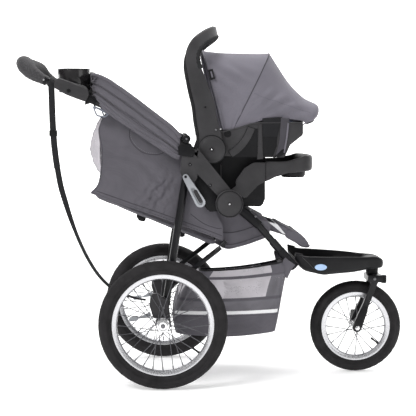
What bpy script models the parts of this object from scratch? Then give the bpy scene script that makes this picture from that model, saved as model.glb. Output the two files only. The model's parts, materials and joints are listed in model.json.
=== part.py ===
"""Three-wheeled jogging stroller with an infant carrier docked on it.

Units are metres. +X points to the front wheel, +Y to the stroller's left side, +Z up.
The origin is on the ground, below the middle of the stroller's length and width.
"""
import math

import bmesh
import bpy
from mathutils import Vector

# ---------------------------------------------------------------- driving dimensions
REAR_AXLE = (-0.158, 0.203)          # (x, z) of the rear axle; z is the 16 inch wheel's radius
FRONT_AXLE = (0.487, 0.1525)         # (x, z) of the front axle; z is the 12 inch wheel's radius
STEER_X = 0.548                      # the fork swivels about a vertical line here
WHEEL_Y = 0.275                      # centre plane of each rear wheel
HUB = (0.0505, 0.581)                # fold pivot of the front and handle frames
LEG_PIVOT = (-0.0865, 0.660)         # the rear legs pivot on the hinge brackets here
BRACE_PIVOT = (-0.1420, 0.306)       # the brace links pivot on the rear legs here
SEAT_PIVOT = (0.0335, 0.443)         # cross bar: the seat back hinges here
CARRIER_PIVOT = (-0.0035, 0.750)     # the carrier's handle turns here
CANOPY_PIVOT = (-0.0835, 0.790)      # the stroller canopy's bow turns here
HOOD_PIVOT = (0.0485, 0.800)         # the carrier hood's bow turns here
HANDLE_FOOT = (-0.0815, 0.778)       # lower end of the handle tubes, on the brackets
HANDLE_BEND = (-0.5345, 0.972)       # the handle leaves its straight tubes here
HANDLE_TOP = (-0.6220, 1.032)        # middle of the handle's cross bar

TUBE_R = 0.012
GRIP_R = 0.0175
HANDLE_Y = 0.225                     # the handle tubes' centre planes
GAP = 0.0004                         # clearance between neighbouring pieces

# layers from the middle plane outwards: (inner, outer) distance from it
FRONT_TUBE_LAYER = (0.1650, 0.1800)
TRAY_ARM_LAYER = (0.1810, 0.1930)
SIDE_PANEL_LAYER = (0.1945, 0.1985)
LEG_LAYER = (0.2005, 0.2245)
BRACKET_LAYER = (0.2255, 0.2490)
LEVER_LAYER = (0.2503, 0.2590)
CANOPY_LAYER = (0.2385, 0.2465)
BOW_LAYER = (0.2470, 0.2500)
FORK_LAYER = (0.0330, 0.0490)

CROWN_Z = (0.3045, 0.3275)           # bottom and top of the fork's crown
FOOTWELL_HALF = 0.1400
FOOTWELL_TOP = 0.4010
CUP = (-0.4390, 0.1480, 0.0480)      # x, distance from the middle plane, outer radius
CUP_TOP = 1.0040
TETHER_WIDTH = 0.0180

SIDES = ((-1, "right"), (1, "left"))

CHARCOAL = ((0.075, 0.075, 0.078), 0.55, 0.0)
BLACK_PLASTIC = ((0.018, 0.018, 0.020), 0.45, 0.0)
GLOSS_BLACK = ((0.012, 0.012, 0.014), 0.15, 0.0)
BLACK_PAINT = ((0.012, 0.012, 0.013), 0.30, 0.3)
GREY_PLASTIC = ((0.380, 0.380, 0.390), 0.50, 0.0)
RUBBER = ((0.035, 0.033, 0.036), 0.85, 0.0)
FOAM = ((0.045, 0.043, 0.047), 0.95, 0.0)
ALUMINIUM = ((0.720, 0.720, 0.730), 0.28, 1.0)
BRUSHED_STEEL = ((0.550, 0.550, 0.560), 0.35, 1.0)
FABRIC = ((0.150, 0.143, 0.165), 0.90, 0.0)
LIGHT_FABRIC = ((0.205, 0.195, 0.225), 0.88, 0.0)
MESH_FABRIC = ((0.480, 0.460, 0.500), 0.90, 0.0)
BLACK_FABRIC = ((0.020, 0.020, 0.022), 0.92, 0.0)
PALE_BLUE = ((0.420, 0.520, 0.700), 0.50, 0.0)

for old_object in list(bpy.data.objects):
    bpy.data.objects.remove(old_object, do_unlink=True)


# ---------------------------------------------------------------- modelling helpers
def finish_object(obj, finish):
    """Link an object to the scene with a Principled material of its own."""
    colour, roughness, metallic = finish
    material = bpy.data.materials.new(obj.name + "_finish")
    material.use_nodes = True
    shader = material.node_tree.nodes["Principled BSDF"]
    shader.inputs["Base Color"].default_value = (*colour, 1.0)
    shader.inputs["Roughness"].default_value = roughness
    shader.inputs["Metallic"].default_value = metallic
    obj.data.materials.append(material)
    bpy.context.scene.collection.objects.link(obj)
    return obj


def mesh_object(name, bm, finish, origin=(0.0, 0.0, 0.0), smooth_angle=35.0):
    """Turn a bmesh in world coordinates into an object whose origin is at origin."""
    bmesh.ops.recalc_face_normals(bm, faces=bm.faces)
    bmesh.ops.translate(bm, vec=-Vector(origin), verts=bm.verts)
    mesh = bpy.data.meshes.new(name)
    bm.to_mesh(mesh)
    bm.free()
    mesh.shade_smooth()
    mesh.set_sharp_from_angle(angle=math.radians(smooth_angle))
    obj = bpy.data.objects.new(name, mesh)
    obj.location = origin
    return finish_object(obj, finish)


def fillet(points, radius, steps=4):
    """Round the inner corners of an open 3-D polyline with arcs."""
    points = [Vector(point) for point in points]
    path = [points[0]]
    for before, corner, after in zip(points, points[1:], points[2:]):
        arrive = (corner - before).normalized()
        leave = (after - corner).normalized()
        turn = arrive.angle(leave)
        reach = radius * math.tan(turn / 2)
        start = corner - arrive * reach
        inward = (leave - arrive).normalized()
        centre = corner + inward * (radius / math.cos(turn / 2))
        spoke = start - centre
        axis = arrive.cross(leave).normalized()
        for step in range(steps + 1):
            rotation = turn * step / steps
            swing = (spoke * math.cos(rotation)
                     + axis.cross(spoke) * math.sin(rotation))
            path.append(centre + swing)
    path.append(points[-1])
    return path


def rounded(corners, steps=3):
    """Close an outline of (x, z, radius) corners, each rounded with an arc."""
    outline = []
    count = len(corners)
    for index, (x, z, radius) in enumerate(corners):
        if radius == 0:
            outline.append((x, z))
            continue
        before = corners[index - 1]
        after = corners[(index + 1) % count]
        bend = fillet([(before[0], 0, before[1]), (x, 0, z), (after[0], 0, after[1])],
                      radius, steps)
        outline.extend((point.x, point.z) for point in bend[1:-1])
    return outline


def arc(centre, radius, start, end, steps):
    """Points on an arc in the x-z plane; angles in degrees from +X towards +Z."""
    points = []
    for step in range(steps + 1):
        angle = math.radians(start + (end - start) * step / steps)
        points.append((centre[0] + radius * math.cos(angle),
                       centre[1] + radius * math.sin(angle)))
    return points


def plate_mesh(outline, y_low, y_high):
    """Extrude an x-z outline from y_low to y_high."""
    bm = bmesh.new()
    low = [bm.verts.new((x, y_low, z)) for x, z in outline]
    face = bm.faces.new(low)
    extruded = bmesh.ops.extrude_face_region(bm, geom=[face])
    lifted = [item for item in extruded["geom"] if isinstance(item, bmesh.types.BMVert)]
    bmesh.ops.translate(bm, vec=(0, y_high - y_low, 0), verts=lifted)
    return bm


def plate(name, outline, layer, side, finish, origin=(0.0, 0.0, 0.0), bevel=0.0):
    """A flat piece with an x-z outline, in a layer on one side of the middle plane."""
    obj = mesh_object(name, plate_mesh(outline, side * layer[0], side * layer[1]),
                      finish, origin)
    if bevel:
        add_bevel(obj, bevel)
    return obj


def add_bevel(obj, width, segments=1):
    modifier = obj.modifiers.new("edge_bevel", "BEVEL")
    modifier.width = width
    modifier.segments = segments
    modifier.limit_method = "ANGLE"
    modifier.angle_limit = math.radians(40)


def loft(name, sections, finish, origin=(0.0, 0.0, 0.0), closed=False, smooth_angle=35.0):
    """Skin a list of equally long rings of points; the two ends are capped."""
    bm = bmesh.new()
    rings = [[bm.verts.new(point) for point in section] for section in sections]
    pairs = list(zip(rings, rings[1:]))
    if closed:
        pairs.append((rings[-1], rings[0]))
    for ring, following in pairs:
        count = len(ring)
        for index in range(count):
            after = (index + 1) % count
            bm.faces.new((ring[index], ring[after], following[after], following[index]))
    if not closed:
        bm.faces.new(rings[0])
        bm.faces.new(rings[-1])
    return mesh_object(name, bm, finish, origin, smooth_angle)


def lathe(name, profile, centre, finish, axis="Y", segments=32, smooth_angle=35.0):
    """Turn a closed profile of (radius, along-axis) points about an axis through centre."""
    bm = bmesh.new()
    rings = []
    for radius, along in profile:
        ring = []
        for step in range(segments):
            angle = 2 * math.pi * step / segments
            across = (radius * math.cos(angle), radius * math.sin(angle))
            if axis == "Y":
                local = (across[0], along, across[1])
            else:
                local = (across[0], across[1], along)
            ring.append(bm.verts.new(Vector(centre) + Vector(local)))
            if radius == 0:
                break
        rings.append(ring)
    for index, ring in enumerate(rings):
        following = rings[(index + 1) % len(rings)]
        if len(ring) == 1 and len(following) == 1:
            continue
        for step in range(segments):
            after = (step + 1) % segments
            if len(ring) == 1:
                bm.faces.new((ring[0], following[after], following[step]))
            elif len(following) == 1:
                bm.faces.new((ring[step], ring[after], following[0]))
            else:
                bm.faces.new((ring[step], ring[after], following[after], following[step]))
    return mesh_object(name, bm, finish, centre, smooth_angle)


def curve_tube(name, path, radius, finish, resolution=2):
    """A round tube along a path, with closed ends."""
    curve = bpy.data.curves.new(name, "CURVE")
    curve.dimensions = "3D"
    curve.bevel_depth = radius
    curve.bevel_resolution = resolution
    curve.use_fill_caps = True
    spline = curve.splines.new("POLY")
    spline.points.add(len(path) - 1)
    for point, position in zip(spline.points, path):
        point.co = (*position, 1.0)
    return finish_object(bpy.data.objects.new(name, curve), finish)


def oval_sections(path, width, depth, sides=12):
    """Oval rings along a path: width in the x-z plane, depth along y."""
    path = [Vector(point) for point in path]
    rings = []
    for index, position in enumerate(path):
        before = path[max(index - 1, 0)]
        after = path[min(index + 1, len(path) - 1)]
        along = (after - before).normalized()
        across = Vector((along.z, 0, -along.x)).normalized()
        ring = []
        for side in range(sides):
            angle = 2 * math.pi * side / sides
            ring.append(position + across * (width / 2 * math.cos(angle))
                        + Vector((0, depth / 2 * math.sin(angle), 0)))
        rings.append(ring)
    return rings


def cutter(name, bm):
    """A hidden shape for Boolean modifiers."""
    bmesh.ops.recalc_face_normals(bm, faces=bm.faces)
    mesh = bpy.data.meshes.new(name)
    bm.to_mesh(mesh)
    bm.free()
    obj = bpy.data.objects.new(name, mesh)
    obj.hide_render = True
    obj.display_type = "WIRE"
    bpy.context.scene.collection.objects.link(obj)
    return obj


def boolean(obj, other, operation):
    modifier = obj.modifiers.new(operation.lower(), "BOOLEAN")
    modifier.operation = operation
    modifier.object = other


def box_mesh(low, high):
    """A box between two corners."""
    bm = bmesh.new()
    bmesh.ops.create_cube(bm, size=1.0)
    size = [high[axis] - low[axis] for axis in range(3)]
    middle = [(high[axis] + low[axis]) / 2 for axis in range(3)]
    bmesh.ops.scale(bm, vec=size, verts=bm.verts)
    bmesh.ops.translate(bm, vec=middle, verts=bm.verts)
    return bm


def cylinder_mesh(centre, radius, length, axis="Y", segments=24):
    """A cylinder with its middle at centre."""
    bm = bmesh.new()
    bmesh.ops.create_cone(bm, cap_ends=True, segments=segments, radius1=radius,
                          radius2=radius, depth=length)
    if axis == "Y":
        for vertex in bm.verts:
            vertex.co = (vertex.co.x, vertex.co.z, vertex.co.y)
    bmesh.ops.translate(bm, vec=centre, verts=bm.verts)
    return bm


def tube_direction(start, end):
    """Unit vector in the x-z plane from start to end."""
    length = math.hypot(end[0] - start[0], end[1] - start[1])
    return ((end[0] - start[0]) / length, (end[1] - start[1]) / length)


# ---------------------------------------------------------------- wheels
def tyre_profile(outer, height, half_width):
    """Half-round tread over straight walls that stand on the rim's edges."""
    inner = outer - height
    middle = outer - height * 0.48
    return [(inner, -half_width * 0.55), (inner, half_width * 0.55),
            (inner + height * 0.22, half_width * 0.88), (middle, half_width),
            (outer - height * 0.12, half_width * 0.66), (outer, half_width * 0.22),
            (outer, -half_width * 0.22), (outer - height * 0.12, -half_width * 0.66),
            (middle, -half_width), (inner + height * 0.22, -half_width * 0.88)]


def spoke_mesh(inner, outer, start_angle, end_angle, inner_y, outer_y, radius=0.0016):
    """A thin four-sided bar from a hub flange to the rim, around the y axis."""
    start = Vector((inner * math.cos(start_angle), inner_y, inner * math.sin(start_angle)))
    end = Vector((outer * math.cos(end_angle), outer_y, outer * math.sin(end_angle)))
    along = (end - start).normalized()
    across = along.cross(Vector((0, 1, 0))).normalized()
    other = along.cross(across)
    ring = []
    for place in (start, end):
        for first, second in ((1, 1), (-1, 1), (-1, -1), (1, -1)):
            ring.append(place + across * (radius * first) + other * (radius * second))
    return ring


def wheel_rim(name, centre, radius, hub_radius, hub_half, bore, spokes, finish):
    """Rim, laced spokes and hub joined into one body that turns on the axle."""
    rim_inner = radius - 0.0125
    rim = lathe(name, [(rim_inner, -0.0085), (rim_inner, 0.0085), (radius, 0.0115),
                       (radius, -0.0115)], centre, finish, segments=32)
    hub_bm = bmesh.new()
    segments = 16
    profile = [(bore, -hub_half), (hub_radius, -hub_half), (hub_radius, hub_half),
               (bore, hub_half)]
    rings = []
    for ring_radius, along in profile:
        rings.append([hub_bm.verts.new((ring_radius * math.cos(2 * math.pi * step / segments),
                                        along,
                                        ring_radius * math.sin(2 * math.pi * step / segments)))
                      for step in range(segments)])
    for index, ring in enumerate(rings):
        following = rings[(index + 1) % len(rings)]
        for step in range(segments):
            after = (step + 1) % segments
            hub_bm.faces.new((ring[step], ring[after], following[after], following[step]))
    hub = cutter(name + "_hub_shape", hub_bm)
    hub.location = centre
    boolean(rim, hub, "UNION")
    spoke_bm = bmesh.new()
    for index in range(spokes):
        flange = 1 if index % 2 else -1
        angle = 2 * math.pi * index / spokes
        lean = math.radians(7) * (1 if index % 4 < 2 else -1)
        corners = spoke_mesh(hub_radius - 0.002, rim_inner + 0.004, angle, angle + lean,
                             flange * (hub_half - 0.006), 0.0)
        corners = [spoke_bm.verts.new(corner) for corner in corners]
        spoke_bm.faces.new(corners[:4])
        spoke_bm.faces.new(corners[4:])
        for edge in range(4):
            after = (edge + 1) % 4
            spoke_bm.faces.new((corners[edge], corners[after], corners[after + 4],
                                corners[edge + 4]))
    spoke_set = cutter(name + "_spoke_shape", spoke_bm)
    spoke_set.location = centre
    boolean(rim, spoke_set, "UNION")
    return rim


def build_rear_wheels():
    radius = REAR_AXLE[1]
    for side, tag in SIDES:
        centre = (REAR_AXLE[0], side * WHEEL_Y, REAR_AXLE[1])
        lathe("rear_tyre_" + tag, tyre_profile(radius, 0.046, 0.0225), centre, RUBBER,
              segments=32, smooth_angle=50)
        wheel_rim("rear_rim_" + tag, centre, radius - 0.046 - GAP, 0.019, 0.0235, 0.0066, 16,
                  ALUMINIUM)


def build_front_wheel():
    radius = FRONT_AXLE[1]
    centre = (FRONT_AXLE[0], 0, FRONT_AXLE[1])
    lathe("front_tyre", tyre_profile(radius, 0.041, 0.0205), centre, RUBBER,
          segments=32, smooth_angle=50)
    wheel_rim("front_rim", centre, radius - 0.041 - GAP, 0.016, 0.0240, 0.0056, 14, ALUMINIUM)
    axle_half = 0.0500
    lathe("front_axle", [(0, -axle_half), (0.0051, -axle_half), (0.0051, axle_half),
                         (0, axle_half)], centre, BRUSHED_STEEL, segments=12)


def build_fork():
    """Crown, two blades with wide lower ends, and the swivel lock in front."""
    steer = (STEER_X, 0, CROWN_Z[0])
    crown_outline = rounded([(STEER_X - 0.026, CROWN_Z[0], 0.006),
                             (STEER_X + 0.024, CROWN_Z[0], 0.006),
                             (STEER_X + 0.024, CROWN_Z[1], 0.003),
                             (STEER_X - 0.026, CROWN_Z[1], 0.003)], 2)
    fork = plate("fork", crown_outline, (-FORK_LAYER[1], FORK_LAYER[1]), 1, BLACK_PAINT, steer)
    down = tube_direction((STEER_X - 0.004, CROWN_Z[0]), FRONT_AXLE)
    normal = (-down[1], down[0])
    for side, tag in SIDES:
        blade = []
        stations = ((-0.012, 0.011), (0.080, 0.010), (0.120, 0.0135), (0.150, 0.0150))
        top = (STEER_X - 0.004, CROWN_Z[0])
        for distance, half in stations:
            blade.append((top[0] + down[0] * distance + normal[0] * half,
                          top[1] + down[1] * distance + normal[1] * half))
        toe = math.degrees(math.atan2(normal[1], normal[0]))
        blade.extend(arc(FRONT_AXLE, 0.0150, toe, toe - 180, 6))
        for distance, half in reversed(stations[:-1]):
            blade.append((top[0] + down[0] * distance - normal[0] * half,
                          top[1] + down[1] * distance - normal[1] * half))
        shape = cutter("fork_blade_shape_" + tag,
                       plate_mesh(blade, side * FORK_LAYER[0], side * (FORK_LAYER[1] - 0.001)))
        boolean(fork, shape, "UNION")
    axle_hole = cutter("fork_axle_hole",
                       cylinder_mesh((FRONT_AXLE[0], 0, FRONT_AXLE[1]), 0.0054, 0.2,
                                     segments=12))
    boolean(fork, axle_hole, "DIFFERENCE")
    lock_x = STEER_X + 0.0345
    lathe("swivel_lock", [(0, -0.016), (0.008, -0.016), (0.0095, -0.012), (0.0095, 0.008),
                          (0.0065, 0.011), (0, 0.011)],
          (lock_x, 0, CROWN_Z[0] + 0.008), BLACK_PLASTIC, axis="Z", segments=14)
    lever_x = FRONT_AXLE[0]
    lever_z = FRONT_AXLE[1]
    lever = rounded([(lever_x - 0.011, lever_z - 0.010, 0.006),
                     (lever_x + 0.011, lever_z - 0.010, 0.006),
                     (lever_x + 0.009, lever_z + 0.048, 0.005),
                     (lever_x - 0.009, lever_z + 0.048, 0.005)], 2)
    plate("quick_release_lever", lever, (0.0506, 0.0570), 1, BRUSHED_STEEL,
          (lever_x, 0.0538, lever_z - 0.010))


# ---------------------------------------------------------------- front frame
def build_front_frame():
    for side, tag in SIDES:
        middle = (FRONT_TUBE_LAYER[0] + FRONT_TUBE_LAYER[1]) / 2
        route = [(HUB[0] + 0.0150, side * middle, HUB[1] - 0.0040),
                 (0.1445, side * 0.1700, 0.5120),
                 (0.2830, side * 0.1330, 0.3500)]
        path = fillet(route, 0.10, 4)
        front_tube = loft("front_tube_" + tag, oval_sections(path, 0.030, 0.015), BLACK_PAINT)
        lug = plate_mesh(arc(HUB, 0.0300, 0, 345, 15), side * (FRONT_TUBE_LAYER[0] + 0.002),
                         side * (FRONT_TUBE_LAYER[1] - 0.001))
        boolean(front_tube, cutter("front_lug_shape_" + tag, lug), "UNION")
        centre = (HUB[0], 0, HUB[1])
        pin = [(0, side * 0.1796), (0.0080, side * 0.1796), (0.0080, side * 0.2496),
               (0.0400, side * 0.2496), (0.0430, side * 0.2530), (0.0430, side * 0.2620),
               (0.0390, side * 0.2670), (0, side * 0.2680)]
        lathe("hub_disc_" + tag, pin, centre, CHARCOAL, segments=28)
    lathe("seat_cross_bar", [(0, -0.1900), (0.0070, -0.1900), (0.0070, 0.1900), (0, 0.1900)],
          (SEAT_PIVOT[0], 0, SEAT_PIVOT[1]), BLACK_PAINT, segments=14)


def build_footwell():
    """Foot tub with a rounded nose, and the steerer housing under it."""
    side_outline = rounded([(0.2630, 0.3990, 0.004), (0.2935, 0.3610, 0.004),
                            (0.3320, 0.3480, 0.010), (0.3600, 0.3370, 0.015),
                            (0.3900, 0.3430, 0.010), (0.4830, 0.3520, 0.020),
                            (0.5560, 0.3560, 0.006), (0.5640, 0.3900, 0.022),
                            (0.5100, FOOTWELL_TOP + 0.003, 0.020),
                            (0.4700, FOOTWELL_TOP, 0.010)], 3)
    footwell = plate("footwell", side_outline, (-FOOTWELL_HALF, FOOTWELL_HALF), 1,
                     BLACK_PLASTIC, bevel=0.006)
    nose_cut = [(0.600, -0.30), (0.600, -0.020), (0.585, -0.020), (0.560, -0.062),
                (0.500, -0.112), (0.400, -0.1415), (0.400, -0.30)]
    for side, tag in SIDES:
        bm = bmesh.new()
        low = [bm.verts.new((x, side * -y, 0.25)) for x, y in nose_cut]
        face = bm.faces.new(low)
        extruded = bmesh.ops.extrude_face_region(bm, geom=[face])
        lifted = [item for item in extruded["geom"] if isinstance(item, bmesh.types.BMVert)]
        bmesh.ops.translate(bm, vec=(0, 0, 0.25), verts=lifted)
        boolean(footwell, cutter("nose_taper_" + tag, bm), "DIFFERENCE")
    tub = [(0.306, 0.362), (0.470, 0.362), (0.482, 0.420), (0.290, 0.420)]
    boolean(footwell, cutter("foot_tub", plate_mesh(tub, -0.112, 0.112)), "DIFFERENCE")
    housing_top = 0.3520
    lathe("steerer_housing", [(0, CROWN_Z[1] + GAP), (0.0200, CROWN_Z[1] + GAP),
                              (0.0215, housing_top), (0, housing_top)],
          (STEER_X - 0.006, 0, 0), BLACK_PLASTIC, axis="Z", segments=20)


def build_seat():
    """Seat bottom slab, leg rest flap and the basket slung below them."""
    seat_outline = rounded([(0.0480, 0.4480, 0.006), (0.0885, 0.4540, 0.02),
                            (0.1365, 0.4650, 0.02), (0.1765, 0.4780, 0.006),
                            (0.2010, 0.4920, 0.006), (0.1850, 0.5180, 0.012),
                            (0.1200, 0.5500, 0.02), (0.0480, 0.5500, 0.012)], 2)
    plate("seat_bottom", seat_outline, (-0.1520, 0.1520), 1, FABRIC, bevel=0.004)
    flap = rounded([(0.2020, 0.4990, 0.006), (0.2250, 0.4900, 0.01), (0.2925, 0.4330, 0.010),
                    (0.3230, 0.4180, 0.010), (0.3240, 0.4300, 0.010), (0.2990, 0.4590, 0.012),
                    (0.2650, 0.4790, 0.012), (0.2040, 0.5130, 0.006)], 2)
    plate("leg_rest", flap, (-0.1150, 0.1150), 1, FABRIC, bevel=0.003)
    outer = [(-0.0400, 0.3680), (-0.1000, 0.2980), (-0.1250, 0.2200), (-0.1220, 0.1760),
             (-0.0075, 0.1410), (0.0885, 0.1430), (0.2065, 0.1640), (0.2245, 0.2550),
             (0.2360, 0.3250), (0.2420, 0.3560), (0.2280, 0.3860), (0.0875, 0.3720)]
    wall = 0.0040
    basket = plate("basket", outer, (-0.1640, 0.1640), 1, MESH_FABRIC)
    middle_x = 0.0600
    middle_z = 0.2600
    inner = []
    for x, z in outer:
        reach = math.hypot(x - middle_x, z - middle_z)
        scale = (reach - wall * 1.6) / reach
        inner.append((middle_x + (x - middle_x) * scale, middle_z + (z - middle_z) * scale))
    inner[0] = (inner[0][0], 0.4300)
    inner[-1] = (inner[-1][0], 0.4300)
    inner[-2] = (inner[-2][0] - 0.0080, 0.4300)
    hollow = cutter("basket_hollow", plate_mesh(inner, -0.1640 + wall, 0.1640 - wall))
    boolean(basket, hollow, "DIFFERENCE")


def build_child_tray():
    """Two arms on the hub pins and a shallow tray between them."""
    arm_outline = [(HUB[0] - 0.0300, HUB[1] + 0.0100)]
    arm_outline.extend(arc(HUB, 0.0330, 160, 350, 8))
    arm_outline.extend(rounded([(0.1000, 0.5880, 0.010), (0.1185, 0.6080, 0.01),
                                (0.1445, 0.6350, 0.01), (0.1690, 0.6480, 0.006),
                                (0.1690, 0.7080, 0.004), (0.1300, 0.7080, 0.020),
                                (0.1000, 0.6890, 0.020), (0.0700, 0.6450, 0.02)], 2))
    for side, tag in SIDES:
        arm = plate("tray_arm_" + tag, arm_outline, TRAY_ARM_LAYER, side, CHARCOAL,
                    (HUB[0], 0, HUB[1]))
        hole = cutter("tray_arm_hole_" + tag,
                      cylinder_mesh((HUB[0], side * TRAY_ARM_LAYER[0], HUB[1]), 0.0083, 0.06,
                                    segments=16))
        boolean(arm, hole, "DIFFERENCE")
    tray_outline = rounded([(0.1694, 0.6480, 0.002), (0.2040, 0.6640, 0.01),
                            (0.2440, 0.6760, 0.02), (0.2900, 0.6800, 0.01),
                            (0.3220, 0.6880, 0.010), (0.3160, 0.7190, 0.010),
                            (0.2900, 0.7140, 0.01), (0.1694, 0.7080, 0.002)], 2)
    tray = plate("child_tray", tray_outline, (-0.1930, 0.1930), 1, CHARCOAL,
                 (HUB[0], 0, HUB[1]), bevel=0.002)
    window = plate_mesh([(0.100, 0.600), (0.2080, 0.600), (0.2080, 0.800), (0.100, 0.800)],
                        -0.1690, 0.1690)
    boolean(tray, cutter("tray_window", window), "DIFFERENCE")
    for side, tag in SIDES:
        well = cutter("tray_cup_well_" + tag,
                      cylinder_mesh((0.2620, side * 0.1150, 0.7230), 0.0360, 0.0500, "Z", 24))
        boolean(tray, well, "DIFFERENCE")


# ---------------------------------------------------------------- rear frame
def build_rear_frame():
    down = tube_direction(LEG_PIVOT, REAR_AXLE)
    for side, tag in SIDES:
        middle = side * (LEG_LAYER[0] + LEG_LAYER[1]) / 2
        depth = LEG_LAYER[1] - LEG_LAYER[0]
        stop = 0.0126
        foot = (REAR_AXLE[0] - down[0] * stop, middle, REAR_AXLE[1] - down[1] * stop)
        head = (LEG_PIVOT[0] - down[0] * 0.012, middle, LEG_PIVOT[1] - down[1] * 0.012)
        loft("rear_leg_" + tag, oval_sections([head, foot], 0.0240, depth), BLACK_PAINT,
             (LEG_PIVOT[0], 0, LEG_PIVOT[1]))
        latch = rounded([(-0.0590, 0.6480, 0.006), (-0.0345, 0.5830, 0.008),
                         (-0.0150, 0.5560, 0.008), (0.0030, 0.5620, 0.006),
                         (0.0080, 0.5760, 0.006), (0.0030, 0.5980, 0.006),
                         (-0.0300, 0.6450, 0.008)], 2)
        plate("leg_latch_" + tag, latch, (LEG_LAYER[0] + 0.003, LEG_LAYER[1]), side,
              BLACK_PLASTIC, (LEG_PIVOT[0], 0, LEG_PIVOT[1]))
        fan = [(REAR_AXLE[0] + 0.0240, REAR_AXLE[1] + 0.0050)]
        fan.extend(rounded([(-0.1340, 0.2730, 0.010), (-0.1960, 0.3080, 0.014),
                            (-0.2010, 0.2600, 0.010), (-0.1860, 0.2100, 0.008)], 2))
        fan.extend(arc(REAR_AXLE, 0.0260, 190, 340, 6))
        housing = plate("brake_housing_" + tag, fan, BRACKET_LAYER, side, CHARCOAL, bevel=0.003)
        hole = cutter("brake_housing_hole_" + tag,
                      cylinder_mesh((REAR_AXLE[0], side * 0.237, REAR_AXLE[1]), 0.0124, 0.06,
                                    segments=16))
        boolean(housing, hole, "DIFFERENCE")
        lever_pivot = (-0.2050, 0.2300)
        pedal = arc(lever_pivot, 0.0090, 60, -60, 4)
        pedal.extend(rounded([(-0.2350, 0.2120, 0.006), (-0.2640, 0.2090, 0.004),
                              (-0.2660, 0.2200, 0.004), (-0.2360, 0.2270, 0.006)], 2))
        plate("brake_pedal_" + tag, pedal, (0.2290, 0.2460), side, GREY_PLASTIC,
              (lever_pivot[0], 0, lever_pivot[1]))
    tube = 0.0120
    stub = 0.0062
    profile = [(0, -0.2985), (stub, -0.2985), (stub, -0.2490), (tube, -0.2490),
               (tube, 0.2490), (stub, 0.2490), (stub, 0.2985), (0, 0.2985)]
    lathe("rear_axle", profile, (REAR_AXLE[0], 0, REAR_AXLE[1]), BLACK_PAINT, segments=16)


def build_braces():
    """Links from the rear legs to the seat's cross bar; the upper end hangs free of it."""
    along = tube_direction(BRACE_PIVOT, SEAT_PIVOT)
    length = math.hypot(SEAT_PIVOT[0] - BRACE_PIVOT[0], SEAT_PIVOT[1] - BRACE_PIVOT[1])
    for side, tag in SIDES:
        start = (BRACE_PIVOT[0], side * 0.1860, BRACE_PIVOT[1])
        reach = length - 0.0165
        end = (BRACE_PIVOT[0] + along[0] * reach, side * 0.1860,
               BRACE_PIVOT[1] + along[1] * reach)
        brace = loft("brace_" + tag, oval_sections([start, end], 0.0160, 0.0080, 8),
                     BLACK_PAINT, (BRACE_PIVOT[0], 0, BRACE_PIVOT[1]))
        pin = cylinder_mesh((BRACE_PIVOT[0], side * 0.1930, BRACE_PIVOT[1]), 0.0060, 0.0140,
                            segments=12)
        boolean(brace, cutter("brace_pin_shape_" + tag, pin), "UNION")


# ---------------------------------------------------------------- handle frame
def build_handle():
    foot = Vector((HANDLE_FOOT[0], 0, HANDLE_FOOT[1]))
    bend = Vector((HANDLE_BEND[0], 0, HANDLE_BEND[1]))
    top = Vector((HANDLE_TOP[0], 0, HANDLE_TOP[1]))
    reach = 0.0900
    rise = (top - bend).normalized()
    for side, tag in SIDES:
        offset = Vector((0, side * HANDLE_Y, 0))
        curve_tube("handle_tube_" + tag, [foot + offset, bend + offset], TUBE_R, BLACK_PAINT)
    path = [bend + rise * 0.0070 + Vector((0, -HANDLE_Y, 0))]
    path.append(bend + rise * (top - bend).length * 0.30 + Vector((0, -HANDLE_Y, 0)))
    for step in range(1, 6):
        angle = math.pi / 2 * step / 6
        share = 0.30 + 0.70 * math.sin(angle)
        path.append(bend + (top - bend) * share
                    + Vector((0, -HANDLE_Y + reach * (1 - math.cos(angle)), 0)))
    path.append(top + Vector((0, -HANDLE_Y + reach, 0)))
    path += [Vector((point.x, -point.y, point.z)) for point in reversed(path)]
    curve_tube("handle_grip", path, GRIP_R, FOAM, 3)


def on_handle(x):
    """Height of the handle tubes' centre line above x."""
    slope = (HANDLE_BEND[1] - HANDLE_FOOT[1]) / (HANDLE_BEND[0] - HANDLE_FOOT[0])
    return HANDLE_FOOT[1] + slope * (x - HANDLE_FOOT[0])


def tube_cutter(name, side, radius):
    """A hidden rod along one handle tube, for bores around it."""
    foot = Vector((HANDLE_FOOT[0], side * HANDLE_Y, HANDLE_FOOT[1]))
    bend = Vector((HANDLE_BEND[0], side * HANDLE_Y, HANDLE_BEND[1]))
    along = (bend - foot).normalized()
    across = Vector((0, 1, 0))
    other = along.cross(across)
    bm = bmesh.new()
    rings = []
    for place in (foot - along * 0.02, bend + along * 0.02):
        ring = []
        for step in range(16):
            angle = 2 * math.pi * step / 16
            ring.append(bm.verts.new(place + across * (radius * math.cos(angle))
                                     + other * (radius * math.sin(angle))))
        rings.append(ring)
    bm.faces.new(rings[0])
    bm.faces.new(rings[1])
    for step in range(16):
        after = (step + 1) % 16
        bm.faces.new((rings[0][step], rings[0][after], rings[1][after], rings[1][step]))
    return cutter(name, bm)


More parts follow.
